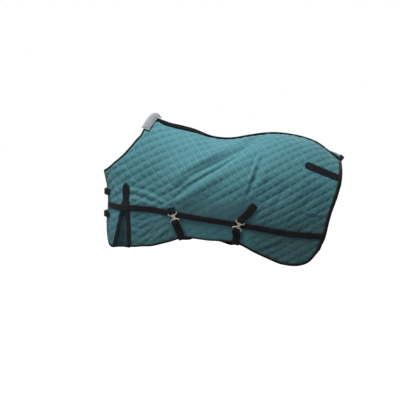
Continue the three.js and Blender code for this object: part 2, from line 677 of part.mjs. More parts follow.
function addChestFastening(name, z) {
  const front = along(CHEST_X, z);
  // local axes of the rigid pieces: p across to the right, q up, r forward out of the chest
  const axes = new THREE.Matrix4().makeBasis(new THREE.Vector3(0, 1, 0), new THREE.Vector3(0, 0, 1),
    new THREE.Vector3(-1, 0, 0)).setPosition(front - CHEST_CLEARANCE, 0, z);

  const chape = chestStrap([[-112, 4.8], [-84, 4.8], [-56, 4.8], [-30, 4.8], [-22, 4.2], [-17.4, 6],
    [-16.2, 9], [-18, 12.4], [-22, 13.8], [-28, 12.8], [-36, 9.4], [-47, 7.9]], z, 34);
  addPiece(`chest_chape_${name}`, cutFrom(chape, strapSlot(-29, -12, z, 4)), blackWeb());

  const billet = chestStrap([[112, 4.8], [84, 4.8], [50, 2.6], [30, 2.2], [18, 2.4], [11, 4.4], [0, 10.4],
    [-11, 16], [-22, 17.4], [-32, 16.2], [-44, 12], [-54, 9.4], [-64, 8.8], [-104, 8.8]], z, 44);
  addPiece(`chest_billet_${name}`, cutFrom(billet, strapSlot(-20, 13, z, 4.5)), blackWeb());

  const frameShape = new THREE.Shape();
  const { halfLength, halfHeight } = BUCKLE;
  frameShape.moveTo(-halfLength, -halfHeight).lineTo(halfLength, -halfHeight).lineTo(halfLength, halfHeight)
    .lineTo(-halfLength, halfHeight).closePath();
  const inner = new THREE.Path();
  inner.moveTo(-halfLength + BAR, -halfHeight + 4).lineTo(halfLength - BAR, -halfHeight + 4)
    .lineTo(halfLength - BAR, halfHeight - 4).lineTo(-halfLength + BAR, halfHeight - 4).closePath();
  frameShape.holes.push(inner);
  const frame = new THREE.ExtrudeGeometry(frameShape, { depth: BAR, bevelEnabled: false });
  frame.translate(0, 0, BUCKLE.lift - BAR / 2);
  addPiece(`buckle_frame_${name}`, closed(frame.applyMatrix4(axes)), pewter());

  const profile = [[3, -19.6], [4.8, -19.6], [4.8, 19.6], [3, 19.6], [3, -19.6]];
  const roller = new THREE.LatheGeometry(profile.map(([r, h]) => new THREE.Vector2(r, h)), 16);
  roller.translate(TOE, 0, BUCKLE.lift);
  addPiece(`buckle_roller_${name}`, closed(roller.applyMatrix4(axes)), pewter());

  const tongueShape = new THREE.Shape();
  tongueShape.absarc(HEEL, BUCKLE.lift, 5.2, 0.95, Math.PI * 2 + 0.1, false);
  tongueShape.lineTo(TOE - 6, 14.6).lineTo(TOE + 8, 14.4).lineTo(TOE + 8.6, 15.6);
  tongueShape.lineTo(TOE + 4, 17.2).lineTo(0, 17);
  tongueShape.closePath();
  const collar = new THREE.Path();
  collar.absarc(HEEL, BUCKLE.lift, 3.1, 0, Math.PI * 2, true);
  tongueShape.holes.push(collar);
  const tongue = new THREE.ExtrudeGeometry(tongueShape,
    { depth: 5, bevelEnabled: false, curveSegments: 14 });
  tongue.translate(0, 0, -2.5);
  tongue.rotateX(Math.PI / 2);
  tongue.scale(1, -1, 1);
  addPiece(`buckle_tongue_${name}`, closed(tongue.applyMatrix4(axes)), pewter());

  const ring = new THREE.Shape();
  ring.moveTo(-22.4, 1).lineTo(22.4, 1).lineTo(22.4, 12.6).lineTo(-22.4, 12.6).closePath();
  const hole = new THREE.Path();
  hole.moveTo(-20.4, 2.6).lineTo(20.4, 2.6).lineTo(20.4, 11).lineTo(-20.4, 11).closePath();
  ring.holes.push(hole);
  const keeper = new THREE.ExtrudeGeometry(ring, { depth: 12, bevelEnabled: false });
  keeper.translate(0, 0, -6);
  const foot = chestPoint(KEEPER_PLACE, z, 0);
  const out = chestPoint(KEEPER_PLACE, z, 1).sub(foot).normalize();
  const up = new THREE.Vector3(0, 0, 1);
  const keeperAxes = new THREE.Matrix4().makeBasis(up, out, up.clone().cross(out)).setPosition(foot);
  addPiece(`keeper_${name}`, closed(keeper).applyMatrix4(keeperAxes), blackWeb());
}

// ---------------------------------------------------------------- the whole rug

for (const side of ['left', 'right']) {
  addCloth(side);
  addBindings(side);
  addSewnTapes(side);
}
addSpineTape();
addWitherPad();
addTailStrap();

const frontAxes = addClip('front', FRONT_CLIP);
const rearAxes = addClip('rear', REAR_CLIP);
addAnchor('front', frontAxes, [[112, -592], [116, -604]]);
addAnchor('rear', rearAxes, [[650, -556], [622, -590], [594, -624]]);
const frontStrap = addBellyStrap('front', frontAxes, [[158, -725], [174, -762], [184, -793]],
  [[524, -824], [532, -780], [540, -735], [546, -690]], 22);
const rearStrap = addBellyStrap('rear', rearAxes, [[534, -760], [528, -795], [524, -824]],
  [[190, -800], [176, -760], [156, -705], [136, -640]], 4);
addFarAnchor('front', 134, -624);
addFarAnchor('rear', 546, -690);
addSlide('front', frontStrap, 0.66);
addSlide('rear', rearStrap, 0.66);

for (const [name, z] of Object.entries(CHEST_STRAP_HEIGHTS)) addChestFastening(name, z);

export default rug;
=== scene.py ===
"""Looks of the turnout rug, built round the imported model.

The worn surface is the same one as in the CAD, in millimetres. A place on one side of the rug is
(a, s): a is the way round from the middle of the chest and then back along the side, and s is the way
down from the spine. (a, t) is the same place with t as the real distance up the cloth, in which the
quilting, the edges and the tapes are laid out. Meshes are turned into metres when they are made.
"""

import math

import bmesh
import bpy
import numpy as np
from mathutils import Matrix, Vector


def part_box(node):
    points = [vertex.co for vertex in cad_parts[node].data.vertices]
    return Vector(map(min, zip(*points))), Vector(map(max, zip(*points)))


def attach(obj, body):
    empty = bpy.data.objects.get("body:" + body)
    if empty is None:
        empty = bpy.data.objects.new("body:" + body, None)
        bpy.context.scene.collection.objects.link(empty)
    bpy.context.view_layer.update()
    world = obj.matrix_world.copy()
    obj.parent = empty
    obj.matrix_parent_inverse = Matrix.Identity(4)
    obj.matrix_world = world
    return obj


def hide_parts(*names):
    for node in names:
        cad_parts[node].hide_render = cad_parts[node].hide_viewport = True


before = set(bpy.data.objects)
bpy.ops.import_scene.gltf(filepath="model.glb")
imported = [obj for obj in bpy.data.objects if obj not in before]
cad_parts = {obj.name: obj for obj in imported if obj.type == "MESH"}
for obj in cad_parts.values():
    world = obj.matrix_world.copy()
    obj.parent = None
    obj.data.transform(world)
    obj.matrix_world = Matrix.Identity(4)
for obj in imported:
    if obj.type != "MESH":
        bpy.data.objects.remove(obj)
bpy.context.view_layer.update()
MM = 0.001

# ---------------------------------------------------------------- shader nodes


class Nodes:
    """Shader nodes being made in one tree. Every helper returns an output socket."""

    def __init__(self, tree):
        self.tree = tree

    def node(self, kind):
        return self.tree.nodes.new(kind)

    def put(self, socket, value):
        if isinstance(value, bpy.types.NodeSocket):
            self.tree.links.new(value, socket)
        else:
            socket.default_value = value

    def math(self, operation, a, b=0.0):
        node = self.node("ShaderNodeMath")
        node.operation = operation
        for socket, value in zip(node.inputs, (a, b)):
            self.put(socket, value)
        return node.outputs[0]

    def times(self, a, b):
        return self.math("MULTIPLY", a, b)

    def plus(self, a, b):
        return self.math("ADD", a, b)

    def parts(self, vector):
        node = self.node("ShaderNodeSeparateXYZ")
        self.put(node.inputs[0], vector)
        return tuple(node.outputs)

    def spread(self, value, low, high, to_low=0.0, to_high=1.0, smooth=True):
        """The value, taken from low..high to to_low..to_high."""
        node = self.node("ShaderNodeMapRange")
        node.interpolation_type = "SMOOTHSTEP" if smooth else "LINEAR"
        for socket, given in zip(node.inputs, (value, low, high, to_low, to_high)):
            self.put(socket, given)
        return node.outputs[0]

    def seen(self):
        """1 where the camera looks straight at the surface."""
        return self.node("ShaderNodeLightPath").outputs["Is Camera Ray"]


class Look(Nodes):
    """A material whose pattern lies in the mesh's layout: two lengths in metres and a third value."""

    def __init__(self, name):
        self.material = bpy.data.materials.new(name)
        self.material.use_nodes = True
        super().__init__(self.material.node_tree)
        self.shader = self.tree.nodes["Principled BSDF"]
        self.place = self.node("ShaderNodeTexCoord").outputs["Object"]

    def layout(self):
        node = self.node("ShaderNodeAttribute")
        node.attribute_name = "layout"
        return self.parts(node.outputs["Vector"])

    def noise(self, scale, detail=3.0, rough=0.55, stretch=None):
        vector = self.place
        if stretch:
            mapping = self.node("ShaderNodeMapping")
            mapping.inputs["Scale"].default_value = stretch
            self.put(mapping.inputs["Vector"], vector)
            vector = mapping.outputs[0]
        node = self.node("ShaderNodeTexNoise")
        given = {"Vector": vector, "Scale": scale, "Detail": detail, "Roughness": rough}
        for name, value in given.items():
            self.put(node.inputs[name], value)
        return node.outputs["Fac"]

    def patches(self, scale, detail, to_low=0.0, to_high=1.0):
        """Soft patches of noise between two values."""
        return self.spread(self.noise(scale, detail), 0.3, 0.7, to_low, to_high)

    def off_line(self, length, pitch):
        """How far a place is from the nearest of a row of lines, as a share of their pitch."""
        return self.math("PINGPONG", self.math("DIVIDE", length, pitch), 0.5)

    def mix(self, share, a, b):
        node = self.node("ShaderNodeMix")
        node.data_type = "RGBA"
        self.put(node.inputs[0], share)
        for socket, value in ((node.inputs[6], a), (node.inputs[7], b)):
            self.put(socket, value if isinstance(value, bpy.types.NodeSocket) else (*value, 1.0))
        return node.outputs[2]

    def sine(self, length, turn):
        return self.math("SINE", self.times(length, turn))

    def weave(self, u, v, pitch):
        """A plain weave of threads pitch metres apart, from 0 to 1."""
        turn = math.pi / pitch
        over, under = (self.math("ABSOLUTE", self.sine(length, turn)) for length in (u, v))
        cross = self.times(self.sine(u, turn / 2), self.sine(v, turn / 2))
        which = self.math("GREATER_THAN", cross, 0.0)
        return self.plus(self.times(over, which),
                         self.times(under, self.math("SUBTRACT", 1.0, which)))

    def bump(self, height, distance, strength=1.0, under=None):
        node = self.node("ShaderNodeBump")
        node.inputs["Strength"].default_value = strength
        node.inputs["Distance"].default_value = distance
        self.put(node.inputs["Height"], height)
        if under is not None:
            self.put(node.inputs["Normal"], under)
        return node.outputs[0]

    def dashes(self, along_line, off_line, half, pitch, filled=0.62):
        """Stitches: 1 on a thread that runs along a line, with a gap between each pair."""
        on = self.spread(off_line, half, half * 1.5, 1.0, 0.0)
        beat = self.math("FRACT", self.math("DIVIDE", along_line, pitch))
        return self.times(on, self.math("LESS_THAN", beat, filled))

    def finish(self, colour, roughness, normal, level=0.5, metallic=0.0, sheen=0.0, tint=(1, 1, 1)):
        given = {"Base Color": colour, "Roughness": roughness, "Normal": normal, "Metallic": metallic,
                 "Sheen Weight": sheen, "Sheen Roughness": 0.5, "Sheen Tint": (*tint, 1.0),
                 "Specular IOR Level": level}
        for name, value in given.items():
            self.put(self.shader.inputs[name], value)
        return self.material


# ---------------------------------------------------------------- camera and light

# The photograph's view: square on to the near side, from a little above its middle.
CAMERA_PLACE, CAMERA_AIM = (0.297, -5.5, 0.0), (0.297, 0.0, -0.553)
CAMERA_LENS, SENSOR_WIDTH = 73.44, 36.0
# Each lamp's name, place, aim, size in metres and power in watts.
LAMPS = [
    ("key", (-0.75, -1.55, 3.4), (0.2, 0.0, -0.35), 1.4, 172.0),
    ("front_fill", (-3.6, -2.4, 0.6), (0.0, 0.0, -0.5), 2.4, 30.0),
    ("back_fill", (3.4, 3.2, 2.4), (0.4, 0.0, -0.4), 2.6, 70.0),
]
SKY_STRENGTH, GROUND_STRENGTH = 0.44, 0.14
SKY_COLOUR = (0.93, 0.97, 1.0, 1.0)
WHITE = (1.0, 1.0, 1.0, 1.0)


def add_object(name, data):
    ob = bpy.data.objects.new(name, data)
    bpy.context.scene.collection.objects.link(ob)
    return ob


def aim(ob, place, target):
    ob.location = place
    ob.rotation_euler = (Vector(target) - ob.location).to_track_quat("-Z", "Y").to_euler()


def add_camera():
    data = bpy.data.cameras.new("camera")
    data.lens, data.sensor_width = CAMERA_LENS, SENSOR_WIDTH
    ob = add_object("camera", data)
    aim(ob, CAMERA_PLACE, CAMERA_AIM)
    bpy.context.scene.camera = ob


def add_lamp(name, place, target, size, power):
    data = bpy.data.lights.new(name, "AREA")
    data.shape = "DISK"
    data.size = size
    data.energy = power
    aim(add_object(name, data), place, target)


def add_world():
    """Plain white behind the rug, and a soft light on it that is weaker from below."""
    world = bpy.data.worlds.new("studio")
    bpy.context.scene.world = world
    world.use_nodes = True
    world.node_tree.nodes.clear()
    nodes = Nodes(world.node_tree)
    height = nodes.parts(nodes.node("ShaderNodeTexCoord").outputs["Generated"])[2]
    light = nodes.spread(height, -0.15, 0.8, GROUND_STRENGTH, SKY_STRENGTH, smooth=False)
    mix = nodes.node("ShaderNodeMixShader")
    nodes.put(mix.inputs[0], nodes.seen())
    for socket, colour, strength in ((mix.inputs[1], SKY_COLOUR, light), (mix.inputs[2], WHITE, 1.0)):
        shader = nodes.node("ShaderNodeBackground")
        nodes.put(shader.inputs["Color"], colour)
        nodes.put(shader.inputs["Strength"], strength)
        nodes.put(socket, shader.outputs[0])
    nodes.put(nodes.node("ShaderNodeOutputWorld").inputs["Surface"], mix.outputs[0])


add_camera()
add_world()
for lamp in LAMPS:
    add_lamp(*lamp)
bpy.context.scene.view_settings.view_transform = "Standard"

# ---------------------------------------------------------------- the worn surface, as in the CAD

NOSE_LENGTH = 200.0
NOSE_ARC = NOSE_LENGTH * math.pi / 2
SPINE_Z = [(-350, 250), (-100, 75), (-12, 14), (90, -30), (169, -50), (263, -78), (384, -124),
           (503, -134), (640, -114), (791, -99), (929, -113), (1066, -154), (1183, -236),
           (1253, -302), (1320, -370)]
HALF_WIDTH = [(-350, 187), (-200, 194), (0, 212), (200, 252), (400, 286), (650, 294), (850, 284),
              (1050, 262), (1250, 244)]
WIDEST_DEPTH = [(-350, 600), (-200, 520), (0, 430), (250, 350), (600, 330), (900, 320), (1250, 290)]
ROUNDNESS = [(-350, 1.3), (-100, 1.4), (-25, 1.42), (30, 1.32), (110, 1.2), (200, 1.22), (320, 1.45),
             (450, 1.65), (600, 1.75), (900, 1.9), (1250, 1.9)]
HEM_TUCK = [(-300, 0), (0, 18), (150, 50), (400, 75), (620, 42), (900, 14), (1250, 0)]
CHEST_X = [(-1000, -318), (-860, -320), (-820, -330), (-700, -336), (-570, -325), (-460, -330),
           (-350, -350), (-250, -352), (100, -352)]
NECKLINE = [(-78, -80), (-121, -138), (-165, -192), (-211, -242), (-258, -281), (-304, -321), (-337, -340)]
THROAT_Z = -356.0
SPINE_START_X, SPINE_END_X = -12.0, 1250.0
HEM = [(-312, -856), (-279, -859), (-166, -846), (-60, -841), (13, -832), (83, -814), (156, -791),
       (216, -784), (297, -790), (400, -798), (496, -806), (560, -824), (640, -868), (723, -908),
       (804, -944), (870, -958), (923, -961), (970, -953), (1012, -932), (1050, -889)]
REAR_EDGE = [(1236, -342), (1216, -420), (1196, -482), (1159, -591), (1132, -691), (1115, -768),
             (1089, -828), (1050, -889)]
SURCINGLE_LINE = [(-312, -573), (-217, -584), (-161, -584), (-27, -594), (70, -612), (142, -624),
                  (297, -650), (459, -673), (685, -712), (815, -737), (946, -755), (1096, -767)]
TAIL_BAND_LINE = [(975, -297), (1060, -331), (1130, -360), (1203, -389)]
GUSSET_APEX = {"front": -190.0, "rear": -181.0, "z": -500.0}
GUSSET_FOOT = {"front": -270.0, "rear": -170.0, "z": -848.0}
PATCH_TOP_Z = -422.0


def along(stations, x):
    xs, ys = np.array(stations, float).T
    slopes = np.empty(len(xs))
    slopes[1:-1] = (ys[2:] - ys[:-2]) / (xs[2:] - xs[:-2])
    slopes[0] = (ys[1] - ys[0]) / (xs[1] - xs[0])
    slopes[-1] = (ys[-1] - ys[-2]) / (xs[-1] - xs[-2])
    x = np.asarray(x, float)
    i = np.clip(np.searchsorted(xs[1:], x), 0, len(xs) - 2)
    span = xs[i + 1] - xs[i]
    t = np.clip((x - xs[i]) / span, 0, 1)
    t2, t3 = t * t, t * t * t
    return (ys[i] * (2 * t3 - 3 * t2 + 1) + span * slopes[i] * (t3 - 2 * t2 + t)
            + ys[i + 1] * (3 * t2 - 2 * t3) + span * slopes[i + 1] * (t3 - t2))


def x_from_arc(a, z):
    front = along(CHEST_X, z)
    return np.where(a < NOSE_ARC, front + NOSE_LENGTH * (1 - np.cos(a / NOSE_LENGTH)),
                    front + NOSE_LENGTH + a - NOSE_ARC)


def arc_from_x(x, z):
    back = (np.asarray(x, float) - along(CHEST_X, z)) / NOSE_LENGTH
    near = NOSE_LENGTH * np.arccos(np.clip(1 - np.maximum(back, 0), -1, 1))
    return np.where(back >= 1, NOSE_ARC + (back - 1) * NOSE_LENGTH, near)


def depth_from_girth(s, widest):
    quarter = widest * math.pi / 2
    return np.where(s < quarter, widest * (1 - np.cos(np.minimum(s, quarter) / widest)), widest + s - quarter)


def girth_from_depth(depth, widest):
    near = widest * np.arccos(np.clip(1 - np.maximum(depth, 0) / widest, -1, 1))
    return np.where(depth >= widest, widest * math.pi / 2 + depth - widest, near)


def half_width(x, z):
    widest = along(WIDEST_DEPTH, x)
    depth = along(SPINE_Z, x) - z
    rise = np.maximum(1 - depth / widest, 0)
    bulge = np.power(np.maximum(1 - rise * rise, 0), 1 / along(ROUNDNESS, x))
    below = np.maximum(depth - widest, 0) / 450
    return along(HALF_WIDTH, x) * bulge - along(HEM_TUCK, x) * below * below


def on_skin(a, z):
    x = x_from_arc(a, z)
    nose = np.where(a < NOSE_ARC, np.sin(np.maximum(a, 0) / NOSE_LENGTH), 1.0)
    return np.stack([x, -half_width(x, z) * nose, z + 0 * x], -1)


def worn(a, s):
    a, s = np.asarray(a, float), np.asarray(s, float)
    z = -s + 0 * a
    for _ in range(4):
        x = x_from_arc(a, z)
        z = along(SPINE_Z, x) - depth_from_girth(np.maximum(s, 0), along(WIDEST_DEPTH, x))
    return on_skin(a, z)


def place(x, z):
    x, z = np.asarray(x, float), np.asarray(z, float)
    return np.stack([arc_from_x(x, z), girth_from_depth(along(SPINE_Z, x) - z, along(WIDEST_DEPTH, x))], -1)


def outward(a, s):
    back = worn(a + 2, s) - worn(a - 2, s)
    down = worn(a, s + 2) - worn(a, np.maximum(s - 2, 0))
    normal = np.cross(down, back)
    normal /= np.maximum(np.linalg.norm(normal, axis=-1, keepdims=True), 1e-9)
    normal[np.asarray(a) < 1] = (-1, 0, 0)
    return normal


# The table between s and t. t is 0 at LEVEL_Z and grows up the cloth.
LEVEL_Z = -600.0
A_STEP, S_STEP, T_STEP = 8.0, 2.0, 4.0
A_GRID = np.arange(-16, 1800, A_STEP)
S_GRID = np.arange(0, 1700, S_STEP)
T_GRID = np.arange(-700, 1100, T_STEP)


def make_tables():
    grid = worn(A_GRID[:, None], S_GRID[None, :])
    steps = np.linalg.norm(np.diff(grid, axis=1), axis=-1)
    run = np.concatenate([np.zeros((len(A_GRID), 1)), np.cumsum(steps, 1)], 1)
    level = np.array([np.interp(-LEVEL_Z, -grid[i, :, 2], run[i]) for i in range(len(A_GRID))])
    t_of = level[:, None] - run
    s_of = np.array([np.interp(level[i] - T_GRID, run[i], S_GRID) for i in range(len(A_GRID))])
    return t_of, s_of


T_OF, S_OF = make_tables()


def look_up(table, a, a0, a_step, b, b0, b_step):
    u = np.clip((np.asarray(a, float) - a0) / a_step, 0, table.shape[0] - 1.001)
    v = np.clip((np.asarray(b, float) - b0) / b_step, 0, table.shape[1] - 1.001)
    i, j = u.astype(int), v.astype(int)
    fu, fv = u - i, v - j
    return ((table[i, j] * (1 - fu) + table[i + 1, j] * fu) * (1 - fv)
            + (table[i, j + 1] * (1 - fu) + table[i + 1, j + 1] * fu) * fv)


def t_from_s(a, s):
    return look_up(T_OF, a, A_GRID[0], A_STEP, s, S_GRID[0], S_STEP)


def s_from_t(a, t):
    return look_up(S_OF, a, A_GRID[0], A_STEP, t, T_GRID[0], T_STEP)


def flat_place(points):
    """(a, t) of places given as [x, z]."""
    x, z = np.array(points, float).T
    spot = place(x, z)
    return np.stack([spot[:, 0], t_from_s(spot[:, 0], spot[:, 1])], -1)


# ---------------------------------------------------------------- lines


def spline(points, count):
    """A uniform Catmull-Rom line through the points, sampled evenly by length."""
    p = np.array(points, float)
    n = len(p)
    t = np.linspace(0, n - 1, max(40 * n, 200))
    i = np.minimum(t.astype(int), n - 2)
    w = (t - i)[:, None]
    p0, p1 = p[np.maximum(i - 1, 0)], p[i]
    p2, p3 = p[i + 1], p[np.minimum(i + 2, n - 1)]
    v0, v1 = (p2 - p0) / 2, (p3 - p1) / 2
    line = ((2 * p1 - 2 * p2 + v0 + v1) * w ** 3 + (-3 * p1 + 3 * p2 - 2 * v0 - v1) * w ** 2 + v0 * w + p1)
    return resample(line, count)


def run_along(line):
    """How far along a polyline each of its points is."""
    return np.concatenate([[0], np.cumsum(np.linalg.norm(np.diff(line, axis=0), axis=1))])


def resample(line, count):
    run = run_along(line)
    at = np.linspace(0, run[-1], count)
    return np.stack([np.interp(at, run, line[:, k]) for k in range(line.shape[1])], -1)


def line_length(line):
    return float(np.linalg.norm(np.diff(line, axis=0), axis=1).sum())


def unit(v):
    """Vectors in the last axis, made one long."""
    return v / np.linalg.norm(v, axis=-1, keepdims=True)


def centripetal(points, count):
    """The line of a free strap, the same curve as the CAD's, sampled at even parameter values."""
    p = np.array(points, float)
    q = np.vstack([2 * p[0] - p[1], p, 2 * p[-1] - p[-2]])
    out = []
    for t in np.linspace(0, len(p) - 1, count):
        i = min(int(t), len(p) - 2)
        w = t - i
        p0, p1, p2, p3 = q[i:i + 4]
        d0, d1, d2 = (max(np.linalg.norm(e) ** 0.5, 1e-4) for e in (p1 - p0, p2 - p1, p3 - p2))
        m1 = ((p1 - p0) / d0 - (p2 - p0) / (d0 + d1) + (p2 - p1) / d1) * d1
        m2 = ((p2 - p1) / d1 - (p3 - p1) / (d1 + d2) + (p3 - p2) / d2) * d1
        out.append((2 * p1 - 2 * p2 + m1 + m2) * w ** 3
                   + (-3 * p1 + 3 * p2 - 2 * m1 - m2) * w ** 2 + m1 * w + p1)
    return np.array(out)


def smoothstep(x, low, high):
    t = np.clip((np.asarray(x, float) - low) / (high - low), 0, 1)
    return t * t * (3 - 2 * t)


def noise(u, v, scale, seed):
    """Smooth value noise from -1 to 1, the same on every run."""
    u, v = np.asarray(u, float) / scale, np.asarray(v, float) / scale
    i, j = np.floor(u).astype(np.int64), np.floor(v).astype(np.int64)
    fu, fv = u - i, v - j
    fu, fv = fu * fu * (3 - 2 * fu), fv * fv * (3 - 2 * fv)

    def value(p, q):
        h = (p * 374761393 + q * 668265263 + seed * 144665) & 0xFFFFFFFF
        h = ((h ^ (h >> 13)) * 1274126177) & 0xFFFFFFFF
        return ((h ^ (h >> 16)) & 0xFFFF) / 32767.5 - 1

    return ((value(i, j) * (1 - fu) + value(i + 1, j) * fu) * (1 - fv)
            + (value(i, j + 1) * (1 - fu) + value(i + 1, j + 1) * fu) * fv)


# ---------------------------------------------------------------- outline of one side, in (a, t)


def outline_path():
    start, end = (place(x, along(SPINE_Z, x)) for x in (SPINE_START_X, SPINE_END_X))
    throat = np.array([1.0, place(along(CHEST_X, THROAT_Z), THROAT_Z)[1]])
    hem = place(*np.array(HEM, float).T)
    foot = np.array([1.0, hem[0, 1]])
    neck = spline(np.vstack([start, place(*np.array(NECKLINE, float).T), throat]), 160)
    front = np.linspace(throat, foot, 140)
    rear = spline(np.vstack([end, place(*np.array(REAR_EDGE, float).T)]), 200)[::-1]
    lower = spline(np.vstack([foot, hem]), 420)
    parts = [neck, front, lower, rear]
    parts = [np.stack([p[:, 0], t_from_s(p[:, 0], p[:, 1])], -1) for p in parts]
    whole = np.vstack([parts[0]] + [p[1:] for p in parts[1:]])
    marks = np.cumsum([0] + [line_length(p) for p in parts])
    path = resample(whole, int(marks[-1] / EDGE_STEP))
    for _ in range(10):  # rounds the corners
        path[1:-1] = (path[:-2] + 2 * path[1:-1] + path[2:]) / 4
    return path, marks


EDGE_STEP = 4.0
# The outline, and how far along it the withers, throat, chest's foot, hem's end and dock are.
EDGE, EDGE_MARKS = outline_path()


def inward(path):
    """Unit vectors that point into the cloth from its outline, which runs spine, throat, hem, rear."""
    tangent = unit(np.gradient(path, axis=0))
    return np.stack([-tangent[:, 1], tangent[:, 0]], -1)


EDGE_IN = inward(EDGE)
EDGE_RUN = run_along(EDGE)


def nearest(points, line, block=4000):
    """Distance to a polyline, share of the way along it, side (positive to its left) and nearest place."""
    a, b = line[:-1], line[1:]
    d = b - a
    length2 = np.maximum((d * d).sum(1), 1e-9)
    run = np.concatenate([[0], np.cumsum(np.sqrt(length2))])
    dist, share, side = (np.empty(len(points)) for _ in range(3))
    foot = np.empty((len(points), 2))
    for k in range(0, len(points), block):
        p, part = points[k:k + block], slice(k, k + block)
        w = np.clip(((p[:, None] - a) * d).sum(-1) / length2, 0, 1)
        at = a + w[..., None] * d
        off = p[:, None] - at
        i = (off ** 2).sum(-1).argmin(1)
        row = np.arange(len(p))
        near, w = off[row, i], w[row, i]
        dist[part] = np.sqrt((near ** 2).sum(-1))
        share[part] = (run[i] + w * np.sqrt(length2[i])) / run[-1]
        side[part] = np.sign(d[i, 0] * near[:, 1] - d[i, 1] * near[:, 0])
        foot[part] = at[row, i]
    return dist, share, side, foot


def inside_polygon(points, polygon):
    inside = np.zeros(len(points), bool)
    x, y = points.T
    for (x0, y0), (x1, y1) in zip(polygon, np.roll(polygon, -1, 0)):
        crosses = (y0 > y) != (y1 > y)
        at = (x1 - x0) * (y - y0) / (y1 - y0 if y1 != y0 else 1e-12) + x0
        inside ^= crosses & (x < at)
    return inside


def gusset_x(edge, z):
    z = np.asarray(z, float)
    share = (GUSSET_APEX["z"] - z) / (GUSSET_APEX["z"] - GUSSET_FOOT["z"])
    return GUSSET_APEX[edge] + (GUSSET_FOOT[edge] - GUSSET_APEX[edge]) * share


def gusset_edge(edge, margin, top, bottom, count):
    z = np.linspace(top, bottom, count)
    return flat_place(np.stack([gusset_x(edge, z) + margin, z], -1))


# ---------------------------------------------------------------- drape: the folds the cloth hangs in

# Each fold is a line of [x, z] places with its height in millimetres at the ends and the middle, and
# how far its upper and lower flanks reach.
FOLDS = [
    ([(90, -455), (200, -335), (330, -262), (540, -172), (690, -112)], (3, 18, 9), 62, 24),
    ([(150, -452), (213, -394), (335, -322), (545, -215), (660, -140)], (-4, -17, -5), 17, 12),
    ([(180, -440), (310, -362), (500, -262), (625, -172)], (2, 8, 2), 15, 15),
    ([(140, -512), (200, -455), (297, -395), (462, -298), (620, -180)], (-4, -16, -5), 16, 12),
    ([(80, -585), (150, -532), (300, -425), (521, -287), (668, -195)], (3, 12, 4), 20, 60),
    ([(215, -560), (400, -440), (560, -345), (640, -300)], (-1, -4, -1), 28, 28),
    ([(588, -520), (622, -440), (652, -368), (703, -252)], (-3, -10, -4), 14, 17),
    ([(560, -520), (596, -430), (628, -350), (676, -235)], (1, 8, 1), 17, 17),
    ([(570, -470), (606, -384), (668, -215)], (-1, -9, -2), 11, 12),
    ([(655, -480), (690, -400), (735, -300)], (0, 5, 1), 24, 24),
    ([(-158, -447), (-62, -464), (38, -512), (96, -552)], (-4, -6, -3), 8, 8),
    ([(-158, -466), (-60, -490), (30, -532), (88, -568)], (4, 5, 2), 10, 10),
    ([(-160, -492), (-62, -522), (39, -562)], (-4, -6, -2), 8, 8),
    ([(-158, -520), (-70, -546), (20, -580)], (3, 4, 1), 9, 9),
    ([(-60, -440), (0, -478), (60, -520)], (-1, -4, -1), 7, 7),
    ([(0, -440), (40, -492), (110, -505)], (-1, -4, -1), 7, 9),
    ([(-150, -640), (-95, -668), (-30, -640)], (-2, -4, -1), 8, 8),
    ([(-150, -700), (-90, -722), (-10, -668)], (-2, -5, -1), 8, 9),
    ([(-150, -760), (-85, -778), (10, -700)], (-2, -5, -1), 9, 9),
    ([(-150, -815), (-80, -826), (30, -742)], (-1, -5, -1), 9, 9),
    ([(-60, -830), (60, -738), (120, -680)], (1, 4, 1), 16, 14),
    ([(-310, -640), (-272, -700), (-262, -760)], (-1, -4, -1), 9, 9),
    ([(-320, -700), (-284, -780), (-280, -840)], (1, 4, 1), 12, 10),
    ([(-300, -400), (-262, -470), (-232, -550)], (1, 4, 1), 20, 16),
    ([(-215, -470), (-232, -520), (-262, -560)], (-1, -4, -1), 8, 8),
    ([(640, -880), (698, -856), (780, -826), (860, -796)], (-1, -5, -1), 9, 12),
    ([(700, -835), (800, -795), (900, -770)], (1, 4, 1), 20, 16),
    ([(960, -604), (1040, -616), (1119, -631)], (1, 4, 1), 7, 9),
    ([(960, -622), (1040, -636), (1100, -650)], (-1, -3, -1), 9, 9),
    ([(860, -560), (940, -470), (985, -330)], (1, 4, 1), 30, 26),
    ([(760, -640), (800, -520), (870, -420)], (-1, -4, -1), 18, 18),
    ([(930, -700), (980, -560), (1090, -430)], (0, -4, -1), 22, 22),
    ([(660, -640), (700, -560), (760, -470)], (0, -4, -1), 16, 16),
    ([(-130, -360), (-40, -300), (60, -180)], (0, 4, 1), 40, 40),
    ([(300, -560), (420, -520), (560, -470)], (-1, -4, -1), 30, 24),
]
CREASE_SEED, CREASE_COUNT = 20, 150
DRAPE_SEED = 7


def small_creases():
    """Short shallow creases, most of them along the folds' own direction."""
    rng = np.random.default_rng(CREASE_SEED)
    found = []
    for _ in range(CREASE_COUNT):
        x, z = rng.uniform(-300, 1200), rng.uniform(-880, -160)
        lean = math.radians(rng.normal(30, 24))
        half = rng.uniform(18, 62)
        reach_x, reach_z = half * math.cos(lean), half * math.sin(lean)
        line = [(x - reach_x, z - reach_z), (x + rng.normal(0, 6), z + rng.normal(0, 6)),
                (x + reach_x, z + reach_z)]
        height = (0, rng.choice([-1.9, -1.4, 1.5]), 0)
        found.append((line, height, rng.uniform(6, 13), rng.uniform(6, 13)))
    return found


